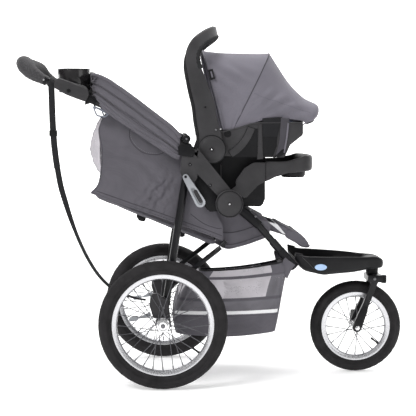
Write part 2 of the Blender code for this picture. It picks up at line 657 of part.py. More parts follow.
def build_parent_tray():
    """Tray clamped round both handle tubes, with two cups and a lidded box."""
    outline = rounded([(-0.4925, 0.9750, 0.006), (-0.4790, 0.9370, 0.006),
                       (-0.3960, 0.8990, 0.006), (-0.3860, 0.9240, 0.006),
                       (-0.3980, 0.9480, 0.010)], 2)
    tray = plate("parent_tray", outline, (-0.2440, 0.2440), 1, CHARCOAL, bevel=0.0015)
    for side, tag in SIDES:
        boolean(tray, tube_cutter("tray_tube_bore_" + tag, side, TUBE_R + 0.0008),
                "DIFFERENCE")
        cup = cutter("cup_shape_" + tag,
                     cylinder_mesh((CUP[0], side * CUP[1], (0.930 + CUP_TOP) / 2), CUP[2],
                                   CUP_TOP - 0.930, "Z", 28))
        boolean(tray, cup, "UNION")
        well = cutter("cup_well_" + tag,
                      cylinder_mesh((CUP[0], side * CUP[1], 0.940 + 0.050), CUP[2] - 0.0035,
                                    0.100, "Z", 28))
        boolean(tray, well, "DIFFERENCE")
    box = cutter("box_shape", box_mesh((-0.478, -0.090, 0.930), (-0.400, 0.090, 0.975)))
    boolean(tray, box, "UNION")
    room = cutter("box_room", box_mesh((-0.474, -0.086, 0.938), (-0.404, 0.086, 1.000)))
    boolean(tray, room, "DIFFERENCE")
    lid = rounded([(-0.4790, 0.9754, 0.001), (-0.3990, 0.9754, 0.001), (-0.3990, 0.9800, 0.003),
                   (-0.4790, 0.9800, 0.003)], 2)
    plate("tray_lid", lid, (-0.0890, 0.0890), 1, GLOSS_BLACK, (-0.3990, 0, 0.9775))


def build_brackets():
    """Hinge plates between the handle tubes, the rear legs and the hub discs."""
    for side, tag in SIDES:
        outline = rounded([(-0.0945, 0.7770, 0.003), (-0.1030, 0.6780, 0.012),
                           (-0.0865, 0.6450, 0.014), (-0.0400, 0.6500, 0.02)], 3)
        outline.extend(arc(HUB, 0.0340, 150, 420, 14))
        outline.extend(rounded([(0.0360, 0.6290, 0.010), (-0.0500, 0.7270, 0.014),
                                (-0.0480, 0.7400, 0.006), (-0.0530, 0.7620, 0.004)], 2))
        bracket = plate("hinge_bracket_" + tag, outline, BRACKET_LAYER, side, CHARCOAL,
                        (HUB[0], 0, HUB[1]), bevel=0.002)
        hole = cutter("bracket_pin_hole_" + tag,
                      cylinder_mesh((HUB[0], side * 0.237, HUB[1]), 0.0084, 0.06, segments=16))
        boolean(bracket, hole, "DIFFERENCE")
        tip = (-0.0405, 0.5860)
        along = tube_direction((LEG_PIVOT[0], LEG_PIVOT[1] + 0.005), tip)
        facing = math.degrees(math.atan2(along[1], along[0]))
        top = (LEG_PIVOT[0], LEG_PIVOT[1] + 0.005)
        capsule = arc(top, 0.0095, facing + 90, facing + 270, 6)
        capsule.extend(arc(tip, 0.0160, facing - 90, facing + 90, 8))
        lever = plate("lock_lever_" + tag, capsule, LEVER_LAYER, side, GREY_PLASTIC,
                      (top[0], 0, top[1]))
        slot_top = (top[0] + along[0] * 0.045, top[1] + along[1] * 0.045)
        slot = arc(slot_top, 0.0060, facing + 90, facing + 270, 4)
        slot.extend(arc(tip, 0.0085, facing - 90, facing + 90, 5))
        low = side * (LEVER_LAYER[0] + 0.0035)
        high = side * (LEVER_LAYER[1] + 0.002)
        boolean(lever, cutter("lever_slot_" + tag, plate_mesh(slot, low, high)), "DIFFERENCE")


def build_triggers():
    """D-shaped pull grips that slide along the underside of the handle tubes."""
    for side, tag in SIDES:
        drop = 0.0150
        near = (-0.3780, on_handle(-0.3780) - drop)
        far = (-0.3180, on_handle(-0.3180) - drop)
        outline = rounded([(near[0], near[1], 0.004), (near[0] + 0.012, near[1] - 0.036, 0.014),
                           (near[0] + 0.040, near[1] - 0.040, 0.012), (far[0], far[1], 0.006)],
                          3)
        grip = plate("fold_trigger_" + tag, outline, (0.2180, 0.2320), side, GREY_PLASTIC)
        hole = rounded([(near[0] + 0.006, near[1] - 0.008, 0.003),
                        (near[0] + 0.016, near[1] - 0.031, 0.008),
                        (near[0] + 0.037, near[1] - 0.035, 0.006),
                        (far[0] - 0.010, far[1] - 0.005, 0.003)], 2)
        boolean(grip, cutter("trigger_hole_" + tag,
                             plate_mesh(hole, side * 0.2100, side * 0.2400)), "DIFFERENCE")


def build_stroller_canopy():
    """The canopy folded back on the handle tubes, and its front bow."""
    fold = rounded([(-0.3830, 0.9850, 0.004), (-0.3650, 0.9020, 0.006),
                    (-0.3240, 0.8700, 0.010), (-0.2280, 0.8060, 0.03),
                    (-0.1140, 0.7170, 0.008), (-0.1060, 0.7240, 0.004),
                    (-0.0990, 0.7800, 0.006), (-0.1100, 0.8180, 0.008),
                    (-0.1980, 0.8850, 0.03), (-0.2900, 0.9430, 0.03),
                    (-0.3550, 0.9800, 0.010)], 2)
    for side, tag in SIDES:
        plate("canopy_side_" + tag, fold, CANOPY_LAYER, side, FABRIC)
    top = rounded([(-0.3790, 0.9860, 0.004), (-0.3790, 0.9400, 0.004), (-0.3660, 0.9400, 0.004),
                   (-0.2300, 0.8850, 0.02), (-0.2060, 0.8780, 0.004), (-0.2080, 0.8900, 0.004),
                   (-0.2900, 0.9430, 0.03), (-0.3550, 0.9800, 0.010)], 2)
    plate("canopy_top", top, (-CANOPY_LAYER[0] + GAP, CANOPY_LAYER[0] - GAP), 1, FABRIC)
    build_canopy_bow()


def build_canopy_bow():
    """U-shaped front bow that lies on the folded canopy and swings forwards."""
    tip = (-0.3720, 0.9970)
    away = tube_direction(CANOPY_PIVOT, tip)
    facing = math.degrees(math.atan2(away[1], away[0]))
    bow = None
    for side, tag in SIDES:
        strip = arc(CANOPY_PIVOT, 0.0095, facing + 90, facing + 270, 6)
        strip.extend(arc(tip, 0.0070, facing - 90, facing + 90, 4))
        if bow is None:
            bow = plate("canopy_bow", strip, BOW_LAYER, side, BLACK_PLASTIC,
                        (CANOPY_PIVOT[0], 0, CANOPY_PIVOT[1]))
        else:
            other_arm = plate_mesh(strip, side * BOW_LAYER[0], side * BOW_LAYER[1])
            boolean(bow, cutter("bow_arm_shape", other_arm), "UNION")
    rod = cylinder_mesh((tip[0], 0, tip[1]), 0.0055, 2 * BOW_LAYER[1] - 0.001, segments=10)
    boolean(bow, cutter("bow_rod_shape", rod), "UNION")


def build_seat_back():
    """Reclined back board, fabric sides and the bulging mesh window behind."""
    board = rounded([(0.0230, 0.4530, 0.003), (-0.3830, 0.6200, 0.006), (-0.3860, 0.6090, 0.003),
                     (-0.3780, 0.6020, 0.006), (0.0190, 0.4390, 0.003)], 2)
    plate("seat_back", board, (-0.1815, 0.1815), 1, FABRIC,
          (SEAT_PIVOT[0], 0, SEAT_PIVOT[1]))
    for side, tag in SIDES:
        panel = rounded([(-0.3800, 0.6140, 0.004), (-0.3560, 0.6500, 0.02),
                         (-0.3480, 0.7200, 0.04), (-0.3620, 0.8400, 0.02),
                         (-0.3300, 0.8720, 0.02), (-0.2280, 0.8200, 0.03),
                         (-0.1130, 0.7300, 0.01), (-0.0640, 0.7000, 0.02),
                         (-0.0100, 0.6000, 0.03), (0.0280, 0.4860, 0.01),
                         (0.0300, 0.4640, 0.006)], 2)
        plate("side_panel_" + tag, panel, SIDE_PANEL_LAYER, side, FABRIC)
    bulge = [(-0.3610, 0.6790), (-0.3690, 0.7000), (-0.3790, 0.7330), (-0.3865, 0.7650),
             (-0.3890, 0.7920), (-0.3865, 0.8200), (-0.3770, 0.8460), (-0.3710, 0.8440),
             (-0.3805, 0.8190), (-0.3830, 0.7920), (-0.3805, 0.7660), (-0.3730, 0.7350),
             (-0.3630, 0.7020), (-0.3560, 0.6805)]
    plate("rear_mesh", bulge, (-0.1870, 0.1870), 1, MESH_FABRIC)


TETHER = [(-0.5035, -0.2250, 0.9375), (-0.5032, -0.2270, 0.9200), (-0.5015, -0.2320, 0.8700),
          (-0.4990, -0.2370, 0.8150), (-0.4940, -0.2380, 0.7500), (-0.4860, -0.2380, 0.6900),
          (-0.4760, -0.2380, 0.6350), (-0.4620, -0.2380, 0.5850), (-0.4430, -0.2380, 0.5250),
          (-0.4200, -0.2380, 0.4650), (-0.3930, -0.2380, 0.4080), (-0.3600, -0.2380, 0.3560),
          (-0.3200, -0.2380, 0.3160), (-0.2800, -0.2380, 0.2950), (-0.2400, -0.2380, 0.2820),
          (-0.2120, -0.2380, 0.2770)]


def smooth_route(points, steps):
    """Catmull-Rom curve through the points."""
    points = [Vector(point) for point in points]
    padded = [points[0] * 2 - points[1]] + points + [points[-1] * 2 - points[-2]]
    route = []
    for index in range(len(points) - 1):
        p0, p1, p2, p3 = padded[index:index + 4]
        for step in range(steps):
            t = step / steps
            route.append(0.5 * ((2 * p1) + (p2 - p0) * t
                                + (2 * p0 - 5 * p1 + 4 * p2 - p3) * t * t
                                + (3 * p1 - p0 - 3 * p2 + p3) * t * t * t))
    route.append(points[-1])
    return route


def build_tether():
    """Webbing safety strap from the handle to the rear axle's housing."""
    curve_tube("tether_strap", smooth_route(TETHER, 2), TETHER_WIDTH / 2, BLACK_FABRIC)
    centre = Vector((TETHER[0][0], -HANDLE_Y, on_handle(TETHER[0][0])))
    along = Vector((HANDLE_BEND[0] - HANDLE_FOOT[0], 0,
                    HANDLE_BEND[1] - HANDLE_FOOT[1])).normalized()
    across = Vector((0, 1, 0))
    other = along.cross(across)
    rings = []
    for step in range(16):
        angle = 2 * math.pi * step / 16
        outward = across * math.cos(angle) + other * math.sin(angle)
        ring = []
        for radius, shift in ((TUBE_R + GAP, -0.009), (TUBE_R + GAP, 0.009),
                              (TUBE_R + 0.0026, 0.009), (TUBE_R + 0.0026, -0.009)):
            ring.append(centre + outward * radius + along * shift)
        rings.append(ring)
    loft("tether_loop", rings, BLACK_FABRIC, closed=True)


# ---------------------------------------------------------------- infant carrier
def build_carrier():
    """Bucket with side walls, docked over the tray and the seat."""
    upper = rounded([(-0.0300, 0.7300, 0.010), (-0.0250, 0.7950, 0.010), (0.0335, 0.8060, 0.02),
                     (0.1445, 0.8340, 0.03), (0.2870, 0.8340, 0.006), (0.2870, 0.7960, 0.012),
                     (0.2465, 0.7640, 0.012), (0.2280, 0.7240, 0.006)], 2)
    shell = plate("carrier_shell", upper, (-0.1995, 0.1995), 1, CHARCOAL)
    lower = rounded([(-0.0420, 0.7300, 0.010), (-0.0200, 0.6600, 0.03), (0.0500, 0.5680, 0.03),
                     (0.1600, 0.5650, 0.014), (0.1700, 0.5900, 0.01), (0.1700, 0.7600, 0.004),
                     (0.0000, 0.7900, 0.01)], 2)
    boolean(shell, cutter("carrier_bucket_shape", plate_mesh(lower, -0.1580, 0.1580)), "UNION")
    room = [(-0.0170, 0.9000), (-0.0170, 0.7900), (-0.0260, 0.7350), (-0.0060, 0.6680),
            (0.0550, 0.5820), (0.1500, 0.5800), (0.1570, 0.6000), (0.1570, 0.7380),
            (0.2250, 0.7620), (0.2620, 0.8120), (0.2620, 0.9000)]
    boolean(shell, cutter("carrier_room", plate_mesh(room, -0.1450, 0.1450)), "DIFFERENCE")
    rim_room = [(-0.0170, 0.9000), (-0.0170, 0.7900), (-0.0140, 0.7500), (0.2050, 0.7500),
                (0.2250, 0.7620), (0.2620, 0.8120), (0.2620, 0.9000)]
    boolean(shell, cutter("carrier_rim_room", plate_mesh(rim_room, -0.1870, 0.1870)),
            "DIFFERENCE")
    pad = [(-0.0155, 0.8020), (-0.0155, 0.7900), (-0.0245, 0.7350), (-0.0050, 0.6690),
           (0.0556, 0.5835), (0.1490, 0.5815), (0.1555, 0.6010), (0.1555, 0.7395),
           (0.2240, 0.7635), (0.2600, 0.8130), (0.2600, 0.8480), (0.2450, 0.8480),
           (0.2450, 0.8200), (0.2140, 0.7780), (0.1420, 0.7520), (0.1420, 0.6100),
           (0.1380, 0.5960), (0.0640, 0.5980), (0.0100, 0.6740), (-0.0085, 0.7370),
           (0.0000, 0.7900), (0.0000, 0.8020)]
    plate("carrier_pad", pad, (-0.1435, 0.1435), 1, PALE_BLUE)


def build_carrier_handle():
    """Flat band from one pivot disc over the top, leaning forwards, to the other."""
    stations = (  # x, z, distance from the middle plane, half width, half thickness, lean
        (-0.0035, 0.7500, 0.2077, 0.0400, 0.0072, 0.0),
        (-0.0080, 0.8000, 0.2077, 0.0390, 0.0072, 12.0),
        (-0.0330, 0.8900, 0.2077, 0.0260, 0.0072, 14.0),
        (-0.0570, 0.9800, 0.2077, 0.0220, 0.0072, 14.0),
        (-0.0660, 1.0300, 0.2060, 0.0210, 0.0075, 3.0),
        (-0.0560, 1.0700, 0.1980, 0.0210, 0.0080, -25.0),
        (-0.0330, 1.0980, 0.1800, 0.0210, 0.0085, -48.0),
        (-0.0080, 1.1160, 0.1450, 0.0200, 0.0090, -66.0),
        (0.0080, 1.1270, 0.0950, 0.0190, 0.0095, -76.0),
        (0.0150, 1.1330, 0.0400, 0.0190, 0.0095, -80.0))
    full = [(x, z, -y, half, thick, lean) for x, z, y, half, thick, lean in stations]
    full += reversed(stations)
    centres = [Vector((x, y, z)) for x, z, y, half, thick, lean in full]
    rings = []
    for index, (x, z, y, half, thick, lean) in enumerate(full):
        before = centres[max(index - 1, 0)]
        after = centres[min(index + 1, len(full) - 1)]
        along = (after - before).normalized()
        lean_angle = math.radians(lean)
        wide = Vector((math.cos(lean_angle), 0, math.sin(lean_angle)))
        wide = (wide - along * wide.dot(along)).normalized()
        thick_way = along.cross(wide).normalized()
        edge = 0.35
        ring = []
        for across, through in ((1, edge), (1, -edge), (1 - 0.12, -1), (-1 + 0.12, -1),
                                (-1, -edge), (-1, edge), (-1 + 0.12, 1), (1 - 0.12, 1)):
            ring.append(centres[index] + wide * (half * across) + thick_way * (thick * through))
        rings.append(ring)
    origin = (CARRIER_PIVOT[0], 0, CARRIER_PIVOT[1])
    handle = loft("carrier_handle", rings, CHARCOAL, origin)
    for side, tag in SIDES:
        disc = cutter("carrier_disc_shape_" + tag,
                      cylinder_mesh((CARRIER_PIVOT[0], side * 0.2078, CARRIER_PIVOT[1]), 0.0430,
                                    0.0150, segments=32))
        boolean(handle, disc, "UNION")


def arch(foot, top, half_width, thickness, steps=12):
    """Closed ring of an arched bow: outer curve from one foot over the top, then back inside."""
    outer = []
    inner = []
    for step in range(steps + 1):
        angle = math.pi * step / steps
        across = -math.cos(angle)
        lift = math.sin(angle) ** 0.55
        side = across / max(abs(across), 1e-9) * abs(across) ** 0.60 if across else 0.0
        position = Vector((foot[0] + (top[0] - foot[0]) * lift, side * half_width,
                           foot[1] + (top[1] - foot[1]) * lift))
        outer.append(position)
        shrink = 1 - thickness / half_width
        drop = thickness / max(math.hypot(top[0] - foot[0], top[1] - foot[1]), 0.05)
        inner.append(Vector((foot[0] + (top[0] - foot[0]) * lift * (1 - drop),
                             side * half_width * shrink,
                             foot[1] + (top[1] - foot[1]) * lift * (1 - drop))))
    return outer + inner[::-1]


def build_carrier_canopy():
    """Hood over the head end, from behind the handle to its front rim."""
    bows = (  # foot, top, half width
        ((0.0420, 0.8140), (-0.0180, 1.0660), 0.1890),
        ((0.0560, 0.8330), (0.0850, 1.0640), 0.1920),
        ((0.0750, 0.8420), (0.1905, 1.0610), 0.1920),
        ((0.1400, 0.8520), (0.2320, 1.0050), 0.1960),
        ((0.2200, 0.8520), (0.2760, 0.9500), 0.1940),
        ((0.2880, 0.8440), (0.3460, 0.8920), 0.1800))
    rings = [arch(foot, top, half, 0.0060) for foot, top, half in bows]
    loft("carrier_canopy", rings, LIGHT_FABRIC, smooth_angle=60)
    foot, top, half = ((0.0330, 0.8090), (-0.0270, 1.0680), 0.1890)
    back = (-0.0060, -0.0015)
    edge = [arch(foot, top, half, 0.0070),
            arch((foot[0] + back[0], foot[1] + back[1]), (top[0] + back[0], top[1] + back[1]),
                 half, 0.0070)]
    loft("hood_bow", edge, LIGHT_FABRIC, (HOOD_PIVOT[0], 0, HOOD_PIVOT[1]), smooth_angle=60)


build_rear_wheels()
build_front_wheel()
build_fork()
build_front_frame()
build_footwell()
build_seat()
build_child_tray()
build_rear_frame()
build_braces()
build_handle()
build_parent_tray()
build_brackets()
build_triggers()
build_stroller_canopy()
build_seat_back()
build_tether()
build_carrier()
build_carrier_handle()
build_carrier_canopy()
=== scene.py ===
"""Looks of the jogging stroller and its docked infant carrier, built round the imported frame.

Metres, +X to the front wheel, +Y to the stroller's left, +Z up.
"""
import json
import math

import bmesh
import bpy
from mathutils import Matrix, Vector, noise

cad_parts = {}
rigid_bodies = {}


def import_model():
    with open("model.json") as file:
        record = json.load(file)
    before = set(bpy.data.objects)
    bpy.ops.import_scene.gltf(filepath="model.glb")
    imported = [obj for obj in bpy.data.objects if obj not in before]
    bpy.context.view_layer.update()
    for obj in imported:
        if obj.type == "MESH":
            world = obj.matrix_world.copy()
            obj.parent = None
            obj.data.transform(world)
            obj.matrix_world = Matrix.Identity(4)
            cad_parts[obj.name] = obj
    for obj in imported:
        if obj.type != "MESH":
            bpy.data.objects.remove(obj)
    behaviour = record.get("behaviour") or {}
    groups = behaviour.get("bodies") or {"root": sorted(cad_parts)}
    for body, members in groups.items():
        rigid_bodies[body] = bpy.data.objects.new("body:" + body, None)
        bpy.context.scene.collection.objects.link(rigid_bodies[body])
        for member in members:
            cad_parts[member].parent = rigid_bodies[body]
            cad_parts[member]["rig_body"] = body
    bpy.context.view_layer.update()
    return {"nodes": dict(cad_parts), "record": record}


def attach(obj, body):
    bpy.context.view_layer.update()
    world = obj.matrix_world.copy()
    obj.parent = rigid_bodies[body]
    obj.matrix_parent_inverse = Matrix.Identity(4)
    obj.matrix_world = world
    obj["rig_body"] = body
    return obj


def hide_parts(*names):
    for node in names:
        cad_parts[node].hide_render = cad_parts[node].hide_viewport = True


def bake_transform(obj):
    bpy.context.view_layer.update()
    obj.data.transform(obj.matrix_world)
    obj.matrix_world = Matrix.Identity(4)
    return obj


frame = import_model()
cad_nodes = frame["nodes"]

SIDES = ((-1, "right"), (1, "left"))
REAR_AXLE = (-0.158, 0.203)
FRONT_AXLE = (0.487, 0.1525)
REAR_WHEEL_Y = 0.275
REAR_TYRE = (0.203, 0.046, 0.0232)  # outer radius, height, half width
REAR_RIM = (0.157, 0.02, 0.0235, 28)  # bead radius, hub radius, half hub, spokes
FRONT_TYRE = (0.1525, 0.041, 0.021)
FRONT_RIM = (0.1115, 0.0165, 0.024, 20)
HUB = (0.0505, 0.581)
CARRIER_PIVOT = (-0.0035, 0.75)
CANOPY_PIVOT = (-0.0835, 0.79)
STEER_X = 0.548
CUP = (-0.439, 0.148)


# ---------------------------------------------------------------- materials
def new_material(name, colour, roughness, metallic=0.0):
    """A Principled material with Object coordinates; returns (material, tree, shader, coords)."""
    material = bpy.data.materials.new(name)
    material.use_nodes = True
    tree = material.node_tree
    shader = tree.nodes["Principled BSDF"]
    shader.inputs["Base Color"].default_value = (*colour, 1.0)
    shader.inputs["Roughness"].default_value = roughness
    shader.inputs["Metallic"].default_value = metallic
    coords = tree.nodes.new("ShaderNodeTexCoord").outputs["Object"]
    return material, tree, shader, coords


def noise_texture(tree, coords, scale, detail=3.0):
    texture = tree.nodes.new("ShaderNodeTexNoise")
    texture.inputs["Scale"].default_value = scale
    texture.inputs["Detail"].default_value = detail
    tree.links.new(coords, texture.inputs["Vector"])
    return texture.outputs["Fac"]


def colour_between(tree, factor, dark, light, low=0.3, high=0.7):
    ramp = tree.nodes.new("ShaderNodeValToRGB")
    ramp.color_ramp.elements[0].position = low
    ramp.color_ramp.elements[0].color = (*dark, 1.0)
    ramp.color_ramp.elements[1].position = high
    ramp.color_ramp.elements[1].color = (*light, 1.0)
    tree.links.new(factor, ramp.inputs["Fac"])
    return ramp.outputs["Color"]


def tinted(tree, shader, factor, dark, light, low=0.3, high=0.7):
    """Colour a shader between two tints, by a texture."""
    colour = colour_between(tree, factor, dark, light, low, high)
    tree.links.new(colour, shader.inputs["Base Color"])


def scaled(colour, factor):
    return tuple(min(channel * factor, 1.0) for channel in colour)


def maths(tree, operation, first, second):
    node = tree.nodes.new("ShaderNodeMath")
    node.operation = operation
    for socket, value in zip(node.inputs, (first, second)):
        if isinstance(value, (int, float)):
            socket.default_value = value
        else:
            tree.links.new(value, socket)
    return node.outputs["Value"]


def bump(tree, shader, height, distance, strength=1.0):
    node = tree.nodes.new("ShaderNodeBump")
    node.inputs["Distance"].default_value = distance
    node.inputs["Strength"].default_value = strength
    tree.links.new(height, node.inputs["Height"])
    tree.links.new(node.outputs["Normal"], shader.inputs["Normal"])


def weave_height(tree, coords, scale):
    """Threads along the three axes, so that a weave shows whichever way the cloth faces."""
    total = None
    for direction in "XYZ":
        wave = tree.nodes.new("ShaderNodeTexWave")
        wave.bands_direction = direction
        wave.inputs["Scale"].default_value = scale
        wave.inputs["Distortion"].default_value = 0.4
        tree.links.new(coords, wave.inputs["Vector"])
        total = wave.outputs["Fac"] if total is None else maths(tree, "ADD", total,
            wave.outputs["Fac"])
    return total


def plastic(name, colour, roughness=0.5, grain=900.0, grain_depth=0.00012, coat=0.0):
    """Moulded plastic: fine grain, faint blotches and scuffed roughness."""
    material, tree, shader, coords = new_material(name, colour, roughness)
    blotch = noise_texture(tree, coords, 14.0, 5.0)
    tinted(tree, shader, blotch, scaled(colour, 0.82), scaled(colour, 1.22))
    scuff = noise_texture(tree, coords, 55.0, 6.0)
    spread = maths(tree, "MULTIPLY_ADD", scuff, 0.22)
    spread.node.inputs[2].default_value = roughness - 0.11
    tree.links.new(spread, shader.inputs["Roughness"])
    bump(tree, shader, noise_texture(tree, coords, grain, 2.0), grain_depth, 0.6)
    shader.inputs["Coat Weight"].default_value = coat
    shader.inputs["Coat Roughness"].default_value = 0.12
    shader.inputs["Specular IOR Level"].default_value = 0.16
    return material


def painted_metal(name, colour):
    """Powder coat with a light orange peel."""
    material, tree, shader, coords = new_material(name, colour, 0.32, 0.0)
    peel = noise_texture(tree, coords, 420.0, 2.0)
    bump(tree, shader, peel, 0.0001, 0.5)
    wear = noise_texture(tree, coords, 22.0, 6.0)
    tinted(tree, shader, wear, scaled(colour, 0.8), scaled(colour, 1.5), 0.35, 0.75)
    shader.inputs["Coat Weight"].default_value = 0.12
    shader.inputs["Coat Roughness"].default_value = 0.18
    shader.inputs["Specular IOR Level"].default_value = 0.2
    return material


def metal(name, colour, roughness, streak=300.0):
    """Bare metal with fine brushed streaks."""
    material, tree, shader, coords = new_material(name, colour, roughness, 1.0)
    streaks = noise_texture(tree, coords, streak, 8.0)
    spread = maths(tree, "MULTIPLY_ADD", streaks, 0.25)
    spread.node.inputs[2].default_value = roughness - 0.1
    tree.links.new(spread, shader.inputs["Roughness"])
    tinted(tree, shader, streaks, scaled(colour, 0.86), colour)
    bump(tree, shader, streaks, 0.00005, 0.4)
    return material


def rubber(name, colour):
    material, tree, shader, coords = new_material(name, colour, 0.78)
    dust = noise_texture(tree, coords, 30.0, 8.0)
    tinted(tree, shader, dust, scaled(colour, 0.75), scaled(colour, 1.35))
    bump(tree, shader, noise_texture(tree, coords, 1400.0, 2.0), 0.00015, 0.6)
    shader.inputs["Specular IOR Level"].default_value = 0.18
    return material


def cloth(name, colour, thread=190.0, depth=0.00022, sheen=0.1, crease=0.0012):
    """Woven polyester: thread weave, soft creases and uneven dye."""
    material, tree, shader, coords = new_material(name, colour, 0.86)
    weave = weave_height(tree, coords, thread)
    folds = noise_texture(tree, coords, 24.0, 4.0)
    scaled_folds = maths(tree, "MULTIPLY", folds, crease / depth)
    bump(tree, shader, maths(tree, "ADD", weave, scaled_folds), depth, 0.7)
    dye = noise_texture(tree, coords, 9.0, 6.0)
    tint = colour_between(tree, dye, scaled(colour, 0.9), scaled(colour, 1.1))
    threads = tree.nodes.new("ShaderNodeMix")
    threads.data_type = "RGBA"
    threads.blend_type = "MULTIPLY"
    threads.inputs["Factor"].default_value = 0.35
    tree.links.new(tint, threads.inputs[6])
    tree.links.new(colour_between(tree, weave, (0.62, 0.62, 0.62), (1.0, 1.0, 1.0), 0.4, 1.0),
        threads.inputs[7])
    tree.links.new(threads.outputs[2], shader.inputs["Base Color"])
    shader.inputs["Sheen Weight"].default_value = sheen
    shader.inputs["Specular IOR Level"].default_value = 0.15
    shader.inputs["Sheen Roughness"].default_value = 0.4
    return material


def netting(name, colour, cell=260.0, cover=0.32):
    """Knitted mesh with small round holes that show what is behind."""
    material, tree, shader, coords = new_material(name, colour, 0.85)
    holes = tree.nodes.new("ShaderNodeTexVoronoi")
    holes.inputs["Scale"].default_value = cell
    holes.inputs["Randomness"].default_value = 0.25
    tree.links.new(coords, holes.inputs["Vector"])
    solid = maths(tree, "GREATER_THAN", holes.outputs["Distance"], cover)
    tree.links.new(solid, shader.inputs["Alpha"])
    dye = noise_texture(tree, coords, 16.0, 5.0)
    tinted(tree, shader, dye, scaled(colour, 0.88), scaled(colour, 1.12))
    bump(tree, shader, holes.outputs["Distance"], 0.0006, 0.6)
    return material


def foam(name, colour):
    """Closed-cell grip foam with a leather-like skin."""
    material, tree, shader, coords = new_material(name, colour, 0.72)
    cells = tree.nodes.new("ShaderNodeTexVoronoi")
    cells.inputs["Scale"].default_value = 230.0
    tree.links.new(coords, cells.inputs["Vector"])
    bump(tree, shader, cells.outputs["Distance"], 0.0012, 0.8)
    tinted(tree, shader, cells.outputs["Distance"], scaled(colour, 1.9), colour, 0.1, 0.6)
    return material


CHARCOAL = plastic("charcoal_plastic", (0.036, 0.035, 0.037), 0.46)
SHELL_BLACK = plastic("shell_black", (0.007, 0.007, 0.008), 0.55)
BLACK = plastic("black_plastic", (0.006, 0.006, 0.007), 0.45)
GLOSS = plastic("gloss_black", (0.014, 0.013, 0.014), 0.2, 500.0, 0.00003, 0.6)
GREY = plastic("grey_plastic", (0.3, 0.31, 0.33), 0.4)
PALE_BLUE = plastic("badge_blue", (0.36, 0.5, 0.72), 0.3, 900.0, 0.00003, 0.5)
PAINT = painted_metal("black_paint", (0.004, 0.004, 0.005))
ALUMINIUM = metal("aluminium", (0.62, 0.62, 0.64), 0.26)
SPOKE = metal("spoke_steel", (0.13, 0.13, 0.14), 0.42)
BLUE_GREY = plastic("blue_grey_plastic", (0.15, 0.16, 0.19), 0.42)
CHROME = metal("polished_steel", (0.86, 0.86, 0.87), 0.16, 120.0)
SCREW = metal("screw_steel", (0.2, 0.2, 0.21), 0.36)
TYRE = rubber("tyre_rubber", (0.017, 0.016, 0.017))
SOFT_BLACK = rubber("grip_rubber", (0.016, 0.016, 0.017))
FOAM = foam("grip_foam", (0.022, 0.021, 0.023))
FABRIC = cloth("grey_fabric", (0.1, 0.095, 0.109))
DARK_FABRIC = cloth("dark_fabric", (0.06, 0.057, 0.066))
LIGHT_FABRIC = cloth("hood_fabric", (0.145, 0.138, 0.162), sheen=0.15)
WEBBING = cloth("webbing", (0.017, 0.017, 0.019), 330.0, 0.0004, 0.15, 0.0001)
THREAD = cloth("thread", (0.2, 0.19, 0.21), 600.0, 0.0001, 0.2, 0.0)
PAD_FABRIC = cloth("pad_fabric", (0.42, 0.47, 0.58), 240.0)
REFLECTIVE = cloth("reflective_tape", (0.74, 0.74, 0.75), 500.0, 0.0001, 0.1, 0.0002)
NET = netting("light_netting", (0.46, 0.44, 0.47))
DARK_NET = netting("dark_netting", (0.12, 0.115, 0.13), 300.0, 0.26)

LOOK_OF_SLOT = {"charcoal_plastic": CHARCOAL, "black_plastic": BLACK, "gloss_black": GLOSS,
    "black_paint": PAINT, "grey_plastic": GREY, "tyre_rubber": TYRE, "foam": FOAM,
    "aluminium": ALUMINIUM, "steel": CHROME, "fabric": FABRIC, "light_fabric": LIGHT_FABRIC,
    "mesh_fabric": NET, "webbing": WEBBING, "pad_fabric": PAD_FABRIC}

for part in frame["record"]["subparts"]:
    node = cad_nodes[part["node"]]
    node.data.materials.clear()
    node.data.materials.append(LOOK_OF_SLOT[part["material_slot"]])


# ---------------------------------------------------------------- modelling helpers
ACROSS = Vector((0, 1, 0))


def link(thing):
    bpy.context.scene.collection.objects.link(thing)


def smooth(mesh):
    for polygon in mesh.polygons:
        polygon.use_smooth = True


def to_mesh(name, bm):
    """A mesh with what the bmesh holds, which is freed."""
    mesh = bpy.data.meshes.new(name)
    bm.to_mesh(mesh)
    bm.free()
    return mesh


def place(name, mesh, look, body, smooth_angle=40.0):
    """Link a mesh as a piece with a look, riding on a body."""
    smooth(mesh)
    mesh.set_sharp_from_angle(angle=math.radians(smooth_angle))
    piece = bpy.data.objects.new(name, mesh)
    link(piece)
    looks = look if isinstance(look, (list, tuple)) else [look]
    for one in looks:
        mesh.materials.append(one)
    if body:
        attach(piece, body)
    return piece


def from_bmesh(name, bm, look, body, smooth_angle=40.0):
    bmesh.ops.recalc_face_normals(bm, faces=bm.faces)
    mesh = to_mesh(name, bm)
    return place(name, mesh, look, body, smooth_angle)


def spline(points, count):
    """Catmull-Rom curve through the points, resampled to count points of equal spacing."""
    points = [Vector(point) for point in points]
    padded = [points[0] * 2 - points[1]] + points + [points[-1] * 2 - points[-2]]
    fine = []
    for index in range(len(points) - 1):
        p0, p1, p2, p3 = padded[index:index + 4]
        for step in range(16):
            t = step / 16
            fine.append(0.5 * (2 * p1 + (p2 - p0) * t + (2 * p0 - 5 * p1 + 4 * p2 - p3) * t * t
                + (3 * p1 - p0 - 3 * p2 + p3) * t * t * t))
    fine.append(points[-1])
    lengths = [0.0]
    for before, after in zip(fine, fine[1:]):
        lengths.append(lengths[-1] + (after - before).length)
    result = []
    index = 0
    for step in range(count):
        goal = lengths[-1] * step / (count - 1)
        while index < len(fine) - 2 and lengths[index + 1] < goal:
            index += 1
        span = max(lengths[index + 1] - lengths[index], 1e-9)
        result.append(fine[index].lerp(fine[index + 1], (goal - lengths[index]) / span))
    return result


